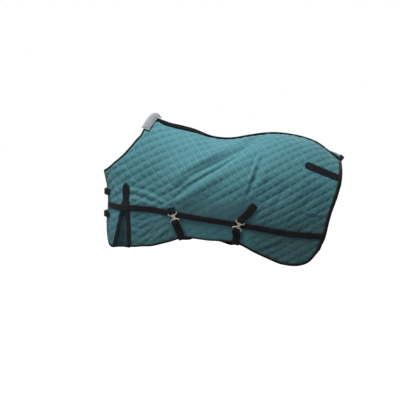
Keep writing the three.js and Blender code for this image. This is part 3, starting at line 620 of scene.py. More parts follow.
def fold_height(spots, folds):
    total = np.zeros(len(spots))
    for points, (first, middle, last), up, low in folds:
        line = spline(flat_place(points), 24)
        reach = 3 * max(up, low)
        lowest, highest = line.min(0) - reach, line.max(0) + reach
        near = ((spots > lowest) & (spots < highest)).all(1)
        if not near.any():
            continue
        dist, share, side, _ = nearest(spots[near], line)
        width = np.where(side > 0, up, low)
        height = np.interp(share, [0, 0.5, 1], [first, middle, last])
        total[near] += height * np.exp(-(dist / width) ** 2)
    return total


class Drape:
    """The folds on one side, as a table in (a, t), so that the cloth and what is sewn on it agree."""

    STEP = 4.0

    def __init__(self, seed):
        self.a0, self.t0 = -16.0, -420.0
        a = np.arange(self.a0, 1760, self.STEP)
        t = np.arange(self.t0, 860, self.STEP)
        grid_a, grid_t = np.meshgrid(a, t, indexing="ij")
        spots = np.stack([grid_a.ravel(), grid_t.ravel()], -1)
        height = fold_height(spots, FOLDS) + fold_height(spots, small_creases())
        wave = 3.2 * noise(grid_a, grid_t, 170, seed) + 1.5 * noise(grid_a, grid_t, 70, seed + 1)
        height = height.reshape(grid_a.shape) + wave
        calm = np.ones(len(spots))
        for points, half, fade in CALM:
            dist = nearest(spots, spline(flat_place(points), 40))[0]
            calm *= smoothstep(dist, half, half + fade)
        self.table = height * calm.reshape(grid_a.shape)
        smooth = self.table
        for _ in range(3):
            for axis in (0, 1):
                smooth = sum(np.roll(smooth, k, axis) for k in range(-7, 8)) / 15
        self.above = self.table - smooth

    def __call__(self, a, t):
        return look_up(self.table, a, self.a0, self.STEP, t, self.t0, self.STEP)

    def relief(self, a, t):
        """How far a place stands out of its neighbourhood."""
        return look_up(self.above, a, self.a0, self.STEP, t, self.t0, self.STEP)


# Where the cloth stays at its nominal place: round the clips, the sewn straps and the chest opening.
CALM = [
    ([(112, -592), (118, -620), (127, -640), (158, -725), (190, -802)], 34, 50),
    ([(650, -556), (594, -624), (546, -688), (534, -760), (524, -826)], 34, 50),
    ([(-345, -400), (-330, -560), (-335, -720), (-320, -850)], 30, 60),
    ([(-12, 14), (500, -134), (900, -110), (1250, -302)], 8, 60),
]
DRAPE = Drape(DRAPE_SEED)
DOCK_A = float(EDGE[-1, 0])
FLARE = 48.0


def below_spine(a, t):
    return t_from_s(a, 0 * a) - t


def rear_flare(a, t):
    """How far the off side's rear top corner stands away from the quarters."""
    down = below_spine(a, t)
    return (FLARE * smoothstep(a, DOCK_A - 128, DOCK_A - 10)
            * smoothstep(down, 0, 45) * (1 - smoothstep(down, 60, 230)))


def lift_points(spots, lift, side):
    """Places (a, t) lifted off the cloth's nominal face, on the left side or mirrored to the right."""
    a, t = spots[..., 0], spots[..., 1]
    s = s_from_t(a, t)
    if side == "right":
        lift = lift + rear_flare(a, t)
    point = worn(a, s) + outward(a, s) * (lift + DRAPE(a, t))[..., None]
    if side == "right":
        point = point * np.array([1, -1, 1])
    return point


# ---------------------------------------------------------------- mesh making


def make_piece(name, node, points, faces, look, marks, body="rug"):
    """A piece that stands for a CAD node, from points in millimetres, with its material's layout marks."""
    material, slot = look
    mesh = bpy.data.meshes.new(name)
    mesh.from_pydata((np.asarray(points, float) * MM).tolist(), [], [list(map(int, f)) for f in faces])
    mesh.validate()
    if marks is not None:
        layer = mesh.attributes.new("layout", "FLOAT_VECTOR", "POINT")
        layer.data.foreach_set("vector", np.asarray(marks, np.float32).ravel())
    made = bmesh.new()
    made.from_mesh(mesh)
    bmesh.ops.recalc_face_normals(made, faces=made.faces)
    made.to_mesh(mesh)
    made.free()
    mesh.polygons.foreach_set("use_smooth", [True] * len(mesh.polygons))
    mesh.materials.append(material)
    ob = add_object(name, mesh)
    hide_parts(node)
    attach(ob, body)
    return ob


def make_skin(name, node, outer, inner, quads, look, marks):
    """A closed piece between two layers of the same quads, joined along every open edge."""
    used, packed = np.unique(quads, return_inverse=True)
    quads = packed.reshape(quads.shape)
    count = len(used)
    edges = {}
    for quad in quads.tolist():
        for i in range(4):
            pair = (quad[i], quad[(i + 1) % 4])
            key = (min(pair), max(pair))
            edges[key] = None if key in edges else pair
    sides = [(p[1], p[0], p[0] + count, p[1] + count) for p in edges.values() if p]
    faces = quads.tolist() + (quads[:, ::-1] + count).tolist() + sides
    points = np.vstack([layer.reshape(-1, 3)[used] for layer in (outer, inner)])
    return make_piece(name, node, points, faces, look, np.vstack([marks[used]] * 2))


def layout_marks(*lengths):
    """The layout vector at each point, in metres, from its three parts in millimetres."""
    return np.stack(np.broadcast_arrays(*lengths), -1).reshape(-1, 3) * MM


def grid_quads(rows, columns, closed_rows=False, closed_columns=False):
    index = np.arange(rows * columns).reshape(rows, columns)
    if closed_columns:
        index = np.hstack([index, index[:, :1]])
    if closed_rows:
        index = np.vstack([index, index[:1]])
    return np.stack([index[:-1, :-1], index[:-1, 1:], index[1:, 1:], index[1:, :-1]], -1).reshape(-1, 4)


def strip_profile(width):
    """Across a webbing: places from -half to half, and the share of its thickness at each."""
    half = np.array([0, 0.25, 0.5, 0.75, 0.93, 0.985, 1])
    thick = np.array([1, 1, 1, 1, 1, 0.7, 0.25])
    v = np.concatenate([-half[:0:-1], half]) * (width / 2)
    return v, np.concatenate([thick[:0:-1], thick])


def sewn_tape(name, node, line, width, lift, thickness, side, look, taper=1.0, step=6.0):
    """A tape that follows the cloth along a line in (a, t). lift and taper may change along it."""
    count = max(int(line_length(line) / step), 6)
    line = resample(line, count)
    v, thick = strip_profile(width)
    share = np.linspace(0, 1, count)
    narrow, middle = (np.broadcast_to(given(share) if callable(given) else given, count)[:, None]
                      for given in (taper, lift))
    spots = line[:, None] + inward(line)[:, None] * (v * narrow)[..., None]
    spots[..., 0] = np.maximum(spots[..., 0], 0.5)
    middle = middle + thickness / 2
    outer = lift_points(spots, middle + thick * thickness / 2, side)
    inner = lift_points(spots, middle - thick * thickness / 2, side)
    run = share[:, None] * line_length(line)
    marks = layout_marks(run, v * narrow, (width / 2 - abs(v)) * narrow)
    return make_skin(name, node, outer, inner, grid_quads(count, len(v)), look, marks)


def free_strap(name, node, points, hint, width, count, cut=None):
    """Webbing along a free line, kept flat against a hint, which is one vector or one for each place.

    cut is a slot for a buckle's tongue: it drops the cells between two places across the chest, near
    the middle of the strap's width.
    """
    line = centripetal(points, count)
    tangent = unit(np.gradient(line, axis=0))
    across = np.broadcast_to(hint, line.shape)
    across = unit(across - (across * tangent).sum(1, keepdims=True) * tangent)
    out = np.cross(tangent, across)
    v, thick = strip_profile(width)
    if cut:
        start, end, half = cut
        v = np.sort(np.concatenate([v[abs(v) > half + 0.5], [-half, 0, half]]))
        thick = np.interp(abs(v), [0, width * 0.465, width / 2], [1, 1, 0.25])
    middle = line[:, None] + across[:, None] * v[:, None]
    reach = out[:, None] * (thick * WEB_THICKNESS / 2)[:, None]
    quads = grid_quads(count, len(v))
    if cut:
        y, z = middle.reshape(-1, 3)[quads].mean(1).T[1:]
        quads = quads[~((y > start) & (y < end) & (abs(z - line[:, 2].mean()) < half))]
    marks = layout_marks(run_along(line)[:, None], v, width / 2 - abs(v))
    return make_skin(name, node, middle + reach, middle - reach, quads, WEB, marks)


# ---------------------------------------------------------------- materials

CELL = 48.0  # the quilting's squares in millimetres
CLOTH_PITCH = 0.0011  # from thread to thread of the shell cloth, in metres
TEAL_SHEEN = (0.7, 0.95, 1.0)
TEAL = (0.073, 0.222, 0.262)
TEAL_FADED = (0.098, 0.285, 0.315)
# a deeper teal: for random darker tone, and for painted shade in hollows and sunk stitch lines
TEAL_DEEP_AND_SHADE = (0.036, 0.128, 0.146)
# the thread's colour, also the painted highlight along one way of the stitch lines
TEAL_THREAD_AND_HIGHLIGHT = (0.175, 0.43, 0.46)
# painted shade for the hem, the rear and the belly
TEAL_PAINTED_SHADE = (0.038, 0.084, 0.090)


def quilted_cloth():
    look = Look("quilted_teal_cloth")
    u, v, puff = look.layout()
    x, _, z = look.parts(look.place)
    # the belly part is pulled tight: it shows no quilting, and its edge is an arc above the surcingle
    belly = look.times(look.spread(x, 0.06, 0.2), look.spread(x, 0.72, 0.54))
    belly = look.times(belly, look.spread(z, -0.515, -0.575))
    plain = look.math("SUBTRACT", 1.0, look.times(belly, 0.85))
    plain = look.times(plain, look.spread(z, -0.3, -0.72, 1.0, 0.22))
    off_u, off_v = (look.times(look.off_line(length, CELL * MM), CELL * MM) for length in (u, v))
    weather = look.patches(3.2, 4)
    colour = look.mix(look.times(weather, 0.45), TEAL, TEAL_FADED)
    colour = look.mix(look.times(look.patches(38, 3), 0.12), colour, TEAL_DEEP_AND_SHADE)
    # painted shade: darker where the puff mark is low, in the quilting's hollows, where tapes and the edge
    # press it and in the folds' valleys
    colour = look.mix(look.spread(puff, 0.0, 0.62, 0.27, 0.0), colour, TEAL_DEEP_AND_SHADE)
    colour = look.mix(look.spread(puff, -0.9, 0.0, 0.6, 0.0), colour, TEAL_DEEP_AND_SHADE)
    # painted shade: darker and greyer towards the hem and the rear, and all over the belly part, where less
    # light falls
    low_shade = look.times(look.spread(z, -0.45, -0.77), look.spread(x, -0.3, 0.9, 0.4, 0.95, False))
    low_shade = look.times(low_shade, look.math("SUBTRACT", 1.0, belly))
    low_shade = look.plus(low_shade, look.times(belly, look.spread(z, -0.64, -0.76, 0.62, 0.12)))
    colour = look.mix(low_shade, colour, TEAL_PAINTED_SHADE)
    worn_top = look.times(look.spread(puff, 0.75, 1.0), look.times(weather, 0.22))
    colour = look.mix(worn_top, colour, TEAL_FADED)
    # the stitch lines: one way paler, thread colour and painted highlight, fading towards the bottom; the
    # other way sunk and painted dark as shade
    faint = look.spread(look.noise(11, 3), 0.35, 0.65, 0.28, 0.72)
    pale_line = look.times(look.spread(off_u, 0.0010, 0.0034, 1.0, 0.0), look.times(faint, plain))
    colour = look.mix(pale_line, colour, TEAL_THREAD_AND_HIGHLIGHT)
    colour = look.mix(look.spread(off_v, 0.0012, 0.0052, 0.30, 0.0), colour, TEAL_DEEP_AND_SHADE)
    stitches = look.math("MAXIMUM", look.dashes(v, off_u, 0.0008, 0.0046),
                         look.dashes(u, off_v, 0.0008, 0.0046))
    colour = look.mix(look.times(stitches, look.times(plain, 0.7)), colour, TEAL_THREAD_AND_HIGHLIGHT)
    threads = look.weave(u, v, CLOTH_PITCH)
    colour = look.mix(look.times(threads, 0.16), colour, TEAL_FADED)
    crumple = look.bump(look.noise(95, 4, 0.6), 0.0012, 0.45, look.bump(threads, 0.0002, 0.55))
    normal = look.bump(stitches, 0.0006, 0.8, crumple)
    return look.finish(colour, look.patches(60, 2, 0.74, 0.9), normal, 0.25, sheen=0.12, tint=TEAL_SHEEN)


def gusset_cloth():
    look = Look("plain_teal_cloth_painted_shade")
    u, v, _ = look.layout()
    threads = look.weave(u, v, CLOTH_PITCH)
    # teal painted very dark: painted shade of the recess behind the slit
    colour = look.mix(look.patches(9, 4), (0.010, 0.030, 0.035), (0.018, 0.052, 0.060))
    colour = look.mix(look.times(threads, 0.12), colour, TEAL_DEEP_AND_SHADE)
    normal = look.bump(look.noise(70, 4), 0.0012, 0.5, look.bump(threads, 0.0002, 0.5))
    return look.finish(colour, look.patches(60, 2, 0.76, 0.9), normal, 0.25, sheen=0.1, tint=TEAL_SHEEN)


def lining_cloth():
    look = Look("dark_lining_cloth")
    u, v, _ = look.layout()
    threads = look.weave(u, v, 0.0009)
    grid = look.math("MAXIMUM", *(look.spread(look.off_line(length, 0.012), 0.0, 0.06, 1.0, 0.0)
                                  for length in (u, v)))
    colour = look.mix(look.patches(7, 4), (0.010, 0.016, 0.020), (0.022, 0.032, 0.038))
    colour = look.mix(look.times(threads, 0.35), colour, (0.034, 0.048, 0.055))
    colour = look.mix(look.times(grid, 0.4), colour, (0.05, 0.068, 0.078))
    normal = look.bump(look.noise(45, 3), 0.0015, 0.5, look.bump(look.plus(threads, grid), 0.0002, 0.5))
    return look.finish(colour, look.patches(30, 2, 0.45, 0.62), normal, 0.4, sheen=0.1)


def tinted(colour, factor):
    return tuple(c * factor for c in colour)


def webbing(name, base, light, pitch, ribs, stitch_in, stitch_light, wear=1.0, level=0.16):
    """Black webbing or tape: ribbed across, edge stitching, dust on the high threads."""
    look = Look(name)
    u, v, edge = look.layout()
    threads = look.weave(u, v, pitch)
    colour = look.mix(look.spread(look.noise(14, 4), 0.35, 0.7), base, tinted(base, 1.5))
    colour = look.mix(look.times(threads, 0.4), colour, light)
    dust = look.times(look.spread(look.noise(55, 4, 0.65), 0.56, 0.78), 0.35 * wear)
    colour = look.mix(dust, colour, tinted(light, 2.2))
    colour = look.mix(look.spread(edge, 0.0, 0.0016, 0.5 * wear, 0.0), colour, tinted(light, 1.8))
    off = look.math("ABSOLUTE", look.math("SUBTRACT", edge, stitch_in))
    stitches = look.dashes(u, off, 0.0005, 0.0042)
    colour = look.mix(look.times(stitches, 0.75), colour, stitch_light)
    height = look.plus(threads, look.times(look.off_line(v, ribs), 1.2))
    height = look.plus(height, look.spread(off, 0.0, 0.0016, -1.0, 0.0))
    normal = look.bump(stitches, 0.0005, 0.7, look.bump(height, 0.0003, 0.7))
    return look.finish(colour, look.patches(40, 2, 0.62, 0.8), normal, level, sheen=0.03 * wear)


def fleece():
    look = Look("grey_wither_fleece")
    edge = look.layout()[2]
    tufts, curls = look.noise(260, 5, 0.7), look.noise(110, 3, 0.6)
    colour = look.mix(look.spread(tufts, 0.3, 0.7), (0.27, 0.285, 0.30), (0.38, 0.40, 0.42))
    colour = look.mix(look.times(look.spread(curls, 0.35, 0.65, 1.0, 0.0), 0.4), colour, (0.20, 0.215, 0.23))
    border = look.spread(edge, 0.0045, 0.0056, 1.0, 0.0)
    colour = look.mix(look.times(border, 0.75), colour, (0.44, 0.46, 0.475))
    normal = look.bump(look.plus(tufts, curls), 0.0014, 0.7)
    return look.finish(colour, look.spread(tufts, 0.3, 0.7, 0.88, 0.98), normal, 0.15, sheen=0.45)


def fitting_metal():
    look = Look("satin_fitting_metal")
    cloudy = look.spread(look.noise(60, 4), 0.3, 0.72)
    colour = look.mix(cloudy, (0.84, 0.77, 0.58), (0.95, 0.92, 0.80))
    tarnish = look.times(look.spread(look.noise(170, 5, 0.7), 0.58, 0.74), 0.5)
    colour = look.mix(tarnish, colour, (0.30, 0.23, 0.13))
    rough = look.plus(look.spread(cloudy, 0.0, 1.0, 0.32, 0.46), look.times(tarnish, 0.4))
    scratches = look.noise(420, 2, 0.5, (1.0, 1.0, 0.06))
    return look.finish(colour, rough, look.bump(scratches, 0.00025, 0.35), metallic=1.0)


# Each material with its slot in the record.
QUILT = quilted_cloth(), "shell_cloth"
GUSSET_CLOTH = gusset_cloth(), "shell_cloth"
LINING = lining_cloth(), "lining_cloth"
TAPE = webbing("black_binding_tape", (0.0085, 0.0085, 0.0105), (0.020, 0.020, 0.024), 0.0010, 0.0030,
               0.0028, (0.030, 0.030, 0.034)), "black_tape"
SPINE = webbing("black_spine_tape", (0.0075, 0.0075, 0.0095), (0.012, 0.012, 0.015), 0.0010, 0.0030,
                0.0028, (0.022, 0.022, 0.026), 0.25, 0.03), "black_tape"
WEB = webbing("black_ribbed_webbing", (0.0075, 0.0075, 0.0095), (0.019, 0.019, 0.023), 0.0016, 0.0064,
              0.0042, (0.034, 0.034, 0.038)), "black_webbing"
FLEECE = fleece(), "wither_fleece"
METAL = fitting_metal(), "fitting_metal"

# ---------------------------------------------------------------- the quilted panels

LEAN = math.radians(28)
QUAD = CELL / 8
SEAM_S, LINING_SEAM_S = 0.6, 4.0
PANEL_INSET, LINING_INSET = 5.225, 14.0
LINING_QUAD = 16.0
# Heights in millimetres: a full puff, the stitch lines below the nominal face, and how far the cloth
# sinks under the tape at the crest.
PUFF, STITCH_LEVEL, CREST_SINK = 5.2, -4.6, 3.5
SURCINGLE_WIDTH, TAIL_BAND_WIDTH, PATCH_WIDTH = 37, 45, 47

SURCINGLE_FLAT = spline(flat_place(SURCINGLE_LINE), 300)
TAIL_BAND_FLAT = spline(flat_place(TAIL_BAND_LINE), 60)
GUSSET_MIDDLE_X = (GUSSET_APEX["front"] + GUSSET_APEX["rear"]) / 2
PATCH_FLAT = flat_place([(GUSSET_MIDDLE_X - 3 * k, z)
                         for k, z in enumerate(np.linspace(PATCH_TOP_Z, -596, 3))])
# The lines of what is sewn or strapped over the cloth, with how far to either side it presses the filling.
PRESSING_LINES = [(SURCINGLE_FLAT, 17), (TAIL_BAND_FLAT, 21), (PATCH_FLAT, 18)]
PRESSING_LINES += [(flat_place(strapped), 25) for strapped in (
    [(112, -586), (120, -640)], [(654, -550), (594, -624), (546, -680)],
    [(140, -680), (158, -725), (186, -795)], [(538, -720), (534, -760), (526, -815)])]


def panel_polygon(inset, notch, seam):
    """One side's cloth in (a, t), inset from the outline, with the gusset's slit cut in from the hem."""
    path = EDGE + EDGE_IN * inset
    path[:, 0] = np.maximum(path[:, 0], inset + 1.0)
    spine_a = np.linspace(path[-1, 0], path[0, 0], 320)
    spine = np.stack([spine_a, t_from_s(spine_a, np.full(len(spine_a), seam))], -1)
    top, bottom = GUSSET_APEX["z"] + notch * 2, GUSSET_FOOT["z"] - 30
    slit = np.vstack([gusset_edge("front", -notch, top, bottom, 50)[::-1],
                      gusset_edge("rear", notch, top, bottom, 50)])
    first, last = np.flatnonzero(inside_polygon(path, slit))[[0, -1]]
    slit = slit[slit[:, 1] > path[first, 1] - 2]
    return np.vstack([path[:first], slit, path[last + 1:], spine])


def lattice_ways(lean):
    """The two directions of a lattice that leans by an angle in (a, t)."""
    return np.array([[math.cos(lean), math.sin(lean)], [-math.sin(lean), math.cos(lean)]])


def lattice_panel(polygon, quad, lean):
    """Quads of a leaning lattice that fill a polygon; the outermost corners are moved onto its edge.

    It also says how far each corner was from the edge before that, positive inside.
    """
    ring = np.vstack([polygon, polygon[:1]])
    along_p, along_q = lattice_ways(lean)
    rows = []
    for way in (along_p, along_q):
        reach = polygon @ way
        rows.append(np.arange(int(reach.min() / quad) - 2, int(reach.max() / quad) + 3) * quad)
    p, q = np.meshgrid(*rows, indexing="ij")
    spots = (p[..., None] * along_p + q[..., None] * along_q).reshape(-1, 2)
    near = ((spots > polygon.min(0) - 2 * quad) & (spots < polygon.max(0) + 2 * quad)).all(1)
    dist = np.full(len(spots), 1e6)
    dist[near] = nearest(spots[near], ring)[0]
    signed = np.where(inside_polygon(spots, polygon), dist, -dist)
    quads = grid_quads(*p.shape)
    quads = quads[(signed[quads] > -0.45 * quad).all(1)]
    used, packed = np.unique(quads, return_inverse=True)
    spots, quads, signed = spots[used], packed.reshape(-1, 4), signed[used]
    sides = np.sort(np.stack([quads, np.roll(quads, -1, 1)], -1).reshape(-1, 2), 1)
    pairs, counts = np.unique(sides, axis=0, return_counts=True)
    moved = signed < 0
    moved[np.unique(pairs[counts == 1])] = True
    spots[moved] = nearest(spots[moved], ring)[3]
    return spots, quads, signed


def spine_tape_reach(x, side):
    """How far down one side the tape over the seam comes; at the withers it lies more on the near side."""
    if side == "left":
        return 17 + 29 * smoothstep(x, -10, 50) * (1 - smoothstep(x, 230, 450))
    return 17 - 10 * smoothstep(x, 10, 60) * (1 - smoothstep(x, 190, 330))


def quilt_heights(spots, signed, side, seed):
    """How far the cloth's face stands from its nominal place, and its layout marks."""
    along_p, along_q = lattice_ways(LEAN)
    p, q = spots @ along_p / CELL, spots @ along_q / CELL
    full = np.power(abs(np.sin(math.pi * p)), 0.42) * np.power(abs(np.sin(math.pi * q)), 0.66)
    cell_seed = np.floor(p) * 12.9898 + np.floor(q) * 78.233
    plump = 1 + 0.16 * np.sin(cell_seed * 43.7 + seed)
    a, t = spots.T
    down = below_spine(a, t)
    # the belly part is pulled tight, and tapes and the edge press the filling down
    x = x_from_arc(a, LEVEL_Z + t * 0.8)
    belly = smoothstep(x, 60, 190) * (1 - smoothstep(x, 560, 700)) * (1 - smoothstep(t, 30, 130))
    low = smoothstep(-t, -60, 120)
    size = (1 - 0.75 * belly) * (1 - 0.3 * low) * plump
    pressed = np.ones(len(spots))
    for line, half in PRESSING_LINES:
        pressed *= 0.12 + 0.88 * smoothstep(nearest(spots, line)[0], half, half + 11)
    pressed *= 0.2 + 0.8 * smoothstep(signed, 2, 20)
    reach = spine_tape_reach(x_from_arc(a, LEVEL_Z / 2), side)
    pressed *= 0.1 + 0.9 * smoothstep(down, reach - 3, reach + 9)
    p_mm, q_mm = p * CELL, q * CELL
    pucker = 0.55 * noise(p_mm, q_mm, 17, seed) + 0.35 * noise(p_mm, q_mm, 9, seed + 3)
    ribs = 0.5 * noise(p_mm * 0.35, q_mm, 11, seed + 5)
    sunk = CREST_SINK * (1 - smoothstep(down, 25, 90))
    face = (STITCH_LEVEL - sunk + size * pressed * (PUFF * full)
            + pressed * (pucker + ribs) * (0.35 + 0.65 * full))
    # the third mark, which the material darkens as painted shade where it is low: the puff, pressed places
    # and the folds' valleys
    puff = full * pressed * (1 - 0.4 * belly) + 0.25 * (1 - pressed) + 0.075 * DRAPE.relief(a, t)
    return face, np.stack([p_mm * MM, q_mm * MM, np.clip(puff, -1, 1)], -1)


def add_cloth(name, node, outer, inner, quads, look, marks):
    """A sheet of cloth cut to a polygon in (a, t), which is its size laid flat."""
    cloth = make_skin(name, node, outer, inner, quads, look, marks)


def add_panels(side, seed):
    polygon = panel_polygon(PANEL_INSET, 1.5, SEAM_S)
    spots, quads, signed = lattice_panel(polygon, QUAD, LEAN)
    face, marks = quilt_heights(spots, signed, side, seed)
    back = -9.5 + 2.5 * (1 - smoothstep(signed, 4, 40)) + 0.3 * (face + 4.3)
    outer, inner = lift_points(spots, face, side), lift_points(spots, back, side)
    add_cloth(f"quilted_cloth_{side}", f"quilt_{side}", outer, inner, quads, QUILT, marks)
    polygon = panel_polygon(LINING_INSET, 4.0, LINING_SEAM_S)
    spots, quads, signed = lattice_panel(polygon, LINING_QUAD, 0.0)
    near_edge = 1 - smoothstep(signed, 8, 70)
    hang = -18 + 6.5 * near_edge + 1.2 * noise(spots[:, 0], spots[:, 1], 60, seed + 9)
    outer, inner = lift_points(spots, hang, side), lift_points(spots, hang - 1.5, side)
    marks = np.stack([spots[:, 0] * MM, spots[:, 1] * MM, np.ones(len(spots))], -1)
    add_cloth(f"lining_cloth_{side}", f"lining_{side}", outer, inner, quads, LINING, marks)


def add_gusset(side, seed):
    """The folded panel behind the shoulder slit: a pleat that sinks in from the slit's two edges."""
    rows, columns = 60, 25
    z = np.linspace(GUSSET_APEX["z"] - 4, GUSSET_FOOT["z"] - 5, rows)[:, None]
    across = np.linspace(0, 1, columns)
    left, right = gusset_x("front", z) - 3, gusset_x("rear", z) + 3
    width = right - left
    x, z = np.broadcast_arrays(left + width * across, z)
    spots = flat_place(np.stack([x.ravel(), z.ravel()], -1)).reshape(rows, columns, 2)
    pleat = 1 - abs(2 * across - 1) ** 1.4
    ripple = 1.6 * np.sin(across * 17 + z * 0.012) + 1.5 * noise(x, z, 34, seed)
    hang = -7.4 - np.minimum(width * 0.16, 15) * pleat + ripple * pleat * smoothstep(width, 15, 70)
    marks = np.stack([x * MM, z * MM, 0.35 + 0 * x], -1).reshape(-1, 3)
    panel = make_skin(f"gusset_fold_{side}", f"gusset_{side}", lift_points(spots, hang, side),
                      lift_points(spots, hang - 4, side), grid_quads(rows, columns), GUSSET_CLOTH, marks)


# ---------------------------------------------------------------- bindings and sewn tapes


def visible_width(run):
    """How wide the binding shows on the outside, round the outline from the withers to the dock."""
    neck, front, hem, rear = EDGE_MARKS[1:]
    knots = [(0, 9), (neck - 20, 9), (neck + 20, 11), (front - 10, 12), (front + 30, 17), (front + 480, 15),
             (front + 640, 13), (front + 780, 8), (front + 960, 16), (hem, 20), (hem + 60, 25), (rear, 25)]
    return np.interp(run, *zip(*knots))


# The section of a folded binding: distance in from the edge, as a share of the width plus a length,
# and height. It goes round from the outside's inner edge, over the fold and back inside the tape.
BINDING_SECTION = [
    (1, 0, -1.2), (1, -0.5, 0.3), (0.72, 0, 1.5), (0.36, 0, 2), (0, 2.2, 1.6), (0, 0.6, 0.1), (0, 0, -3.5),
    (0, 0.3, -8.5), (0, 1.8, -12.6), (0, 4.5, -14.4), (0.4, 2.5, -14.8), (0.8, 2, -14.6), (0.8, 2, -13.4),
    (0.35, 2.5, -13.2), (0, 3.6, -11.6), (0, 2, -8), (0, 1.7, -3.5), (0, 2.4, -0.4), (0.36, 0.8, 0.2),
    (0.72, 0, -0.4)]
MIDDLE_GAP = 0.5


def add_binding(name, node, first, last, side):
    """Tape folded round the cloth's edge between two distances along the outline."""
    pick = (EDGE_RUN >= first) & (EDGE_RUN <= last)
    run = EDGE_RUN[pick][:, None]
    wide = visible_width(run)
    share, length, height = np.array(BINDING_SECTION).T
    inset = wide * share + length
    spots = EDGE[pick][:, None] + EDGE_IN[pick][:, None] * inset[..., None]
    spots[..., 0] = np.maximum(spots[..., 0], 0.8)
    pucker = 0.35 * np.sin(run * 0.75) * (share > 0.3)
    points = lift_points(spots, height + pucker, side).reshape(-1, 3)
    outside = -1 if side == "left" else 1
    points[:, 1] = outside * np.maximum(outside * points[:, 1], MIDDLE_GAP)
    rows, columns = inset.shape
    quads = grid_quads(rows, columns, closed_columns=True).tolist()
    start = list(range(columns))
    quads += cap(start) + cap([(rows - 1) * columns + k for k in start[::-1]])
    return make_piece(name, node, points, quads, TAPE, layout_marks(run, inset, abs(wide - inset)))


def cap(ring):
    """Quads that close a folded section: it is a band, so each outside corner faces an inside one."""
    half = len(ring) // 2
    return [[ring[i], ring[i + 1], ring[-2 - i], ring[-1 - i]] for i in range(half - 1)]


def add_bindings(side):
    neck, front, hem, rear = EDGE_MARKS[1:]
    for kind, first, last in (("neck", 0, neck), ("front", neck - 4, front), ("hem", front - 4, hem),
                              ("rear", hem - 4, rear + 9)):
        add_binding(f"{kind}_edge_{side}", f"{kind}_binding_{side}", first, last, side)


def over_gusset(share):
    """The surcingle's height: it lies over the patch at the gusset, which is near its front end."""
    return 0.9 + 3.4 * (1 - smoothstep(share, 0.215, 0.24))


def round_end(share):
    return np.sqrt(np.maximum(1 - np.maximum(1 - share * 10.5, 0) ** 2 * 0.97, 0.02))


def pointed_end(share):
    return np.minimum(0.16 + share * 6.4, 1) * (1 - 0.17 * smoothstep(share, 0.48, 0.53))


def add_sewn(side):
    sewn_tape(f"surcingle_web_{side}", f"surcingle_{side}", SURCINGLE_FLAT, SURCINGLE_WIDTH, over_gusset, 2.0,
              side, WEB)
    sewn_tape(f"tail_band_web_{side}", f"tail_band_{side}", TAIL_BAND_FLAT, TAIL_BAND_WIDTH, 0.7, 1.9, side,
              WEB, round_end, 3.0)
    sewn_tape(f"gusset_point_{side}", f"gusset_patch_{side}", PATCH_FLAT, PATCH_WIDTH, 1.8, 1.7, side, TAPE,
              pointed_end, 3.0)
    top, foot = GUSSET_APEX["z"] - 40, GUSSET_FOOT["z"] + 8
    for kind, middle, width in (("front", -7.0, 16.5), ("rear", 2.5, 26)):
        sewn_tape(f"gusset_{kind}_edge_{side}", f"gusset_{kind}_tape_{side}",
                  gusset_edge(kind, middle, top, foot, 60), width, 0.4, 1.7, side, TAPE)


def add_spine_tape():
    """The tape over the seam, with the seam's ridge under its middle."""
    a = np.linspace(EDGE[0, 0] + 4, EDGE[-1, 0] - 2, 330)
    x = worn(a, 0 * a)[:, 0]
    crest = t_from_s(a, 0 * a)
    left, right = spine_tape_reach(x, "left"), spine_tape_reach(x, "right")
    ridge = 3.6 * smoothstep(x, 60, 260)
    half = np.array([0.15, 0.35, 0.6, 0.86, 0.97, 1])
    across = np.concatenate([-half[::-1], [0], half])
    thick = np.interp(abs(across), [0.86, 0.97, 1], [1, 0.8, 0.3])
    outer, inner = [], []
    for k, share in enumerate(across):
        side, width = ("left", left) if share < 0 else ("right", right)
        flat = np.stack([a, crest - abs(share) * width], -1)
        rise = 0.5 * noise(a, 0 * a + share * 40, 60, 3) + ridge * np.exp(-(share * width / 9) ** 2)
        for layer, lift in ((outer, 0.6 + rise + thick[k]), (inner, np.full(len(a), -6.5))):
            point = lift_points(flat, lift, side)
            if share == 0:
                point[:, 1] = 0
            layer.append(point)
    half = np.where(across < 0, left[:, None], right[:, None])
    v = across * half
    make_skin("spine_tape_sewn", "spine_tape", np.stack(outer, 1), np.stack(inner, 1),
              grid_quads(len(a), len(across)), SPINE, layout_marks(a[:, None], v, half - abs(v)))


add_spine_tape()
for one_side, own_seed in (("left", 11), ("right", 57)):
    add_panels(one_side, own_seed)
    add_bindings(one_side)
    add_sewn(one_side)
    add_gusset(one_side, own_seed)

# ---------------------------------------------------------------- wither pad


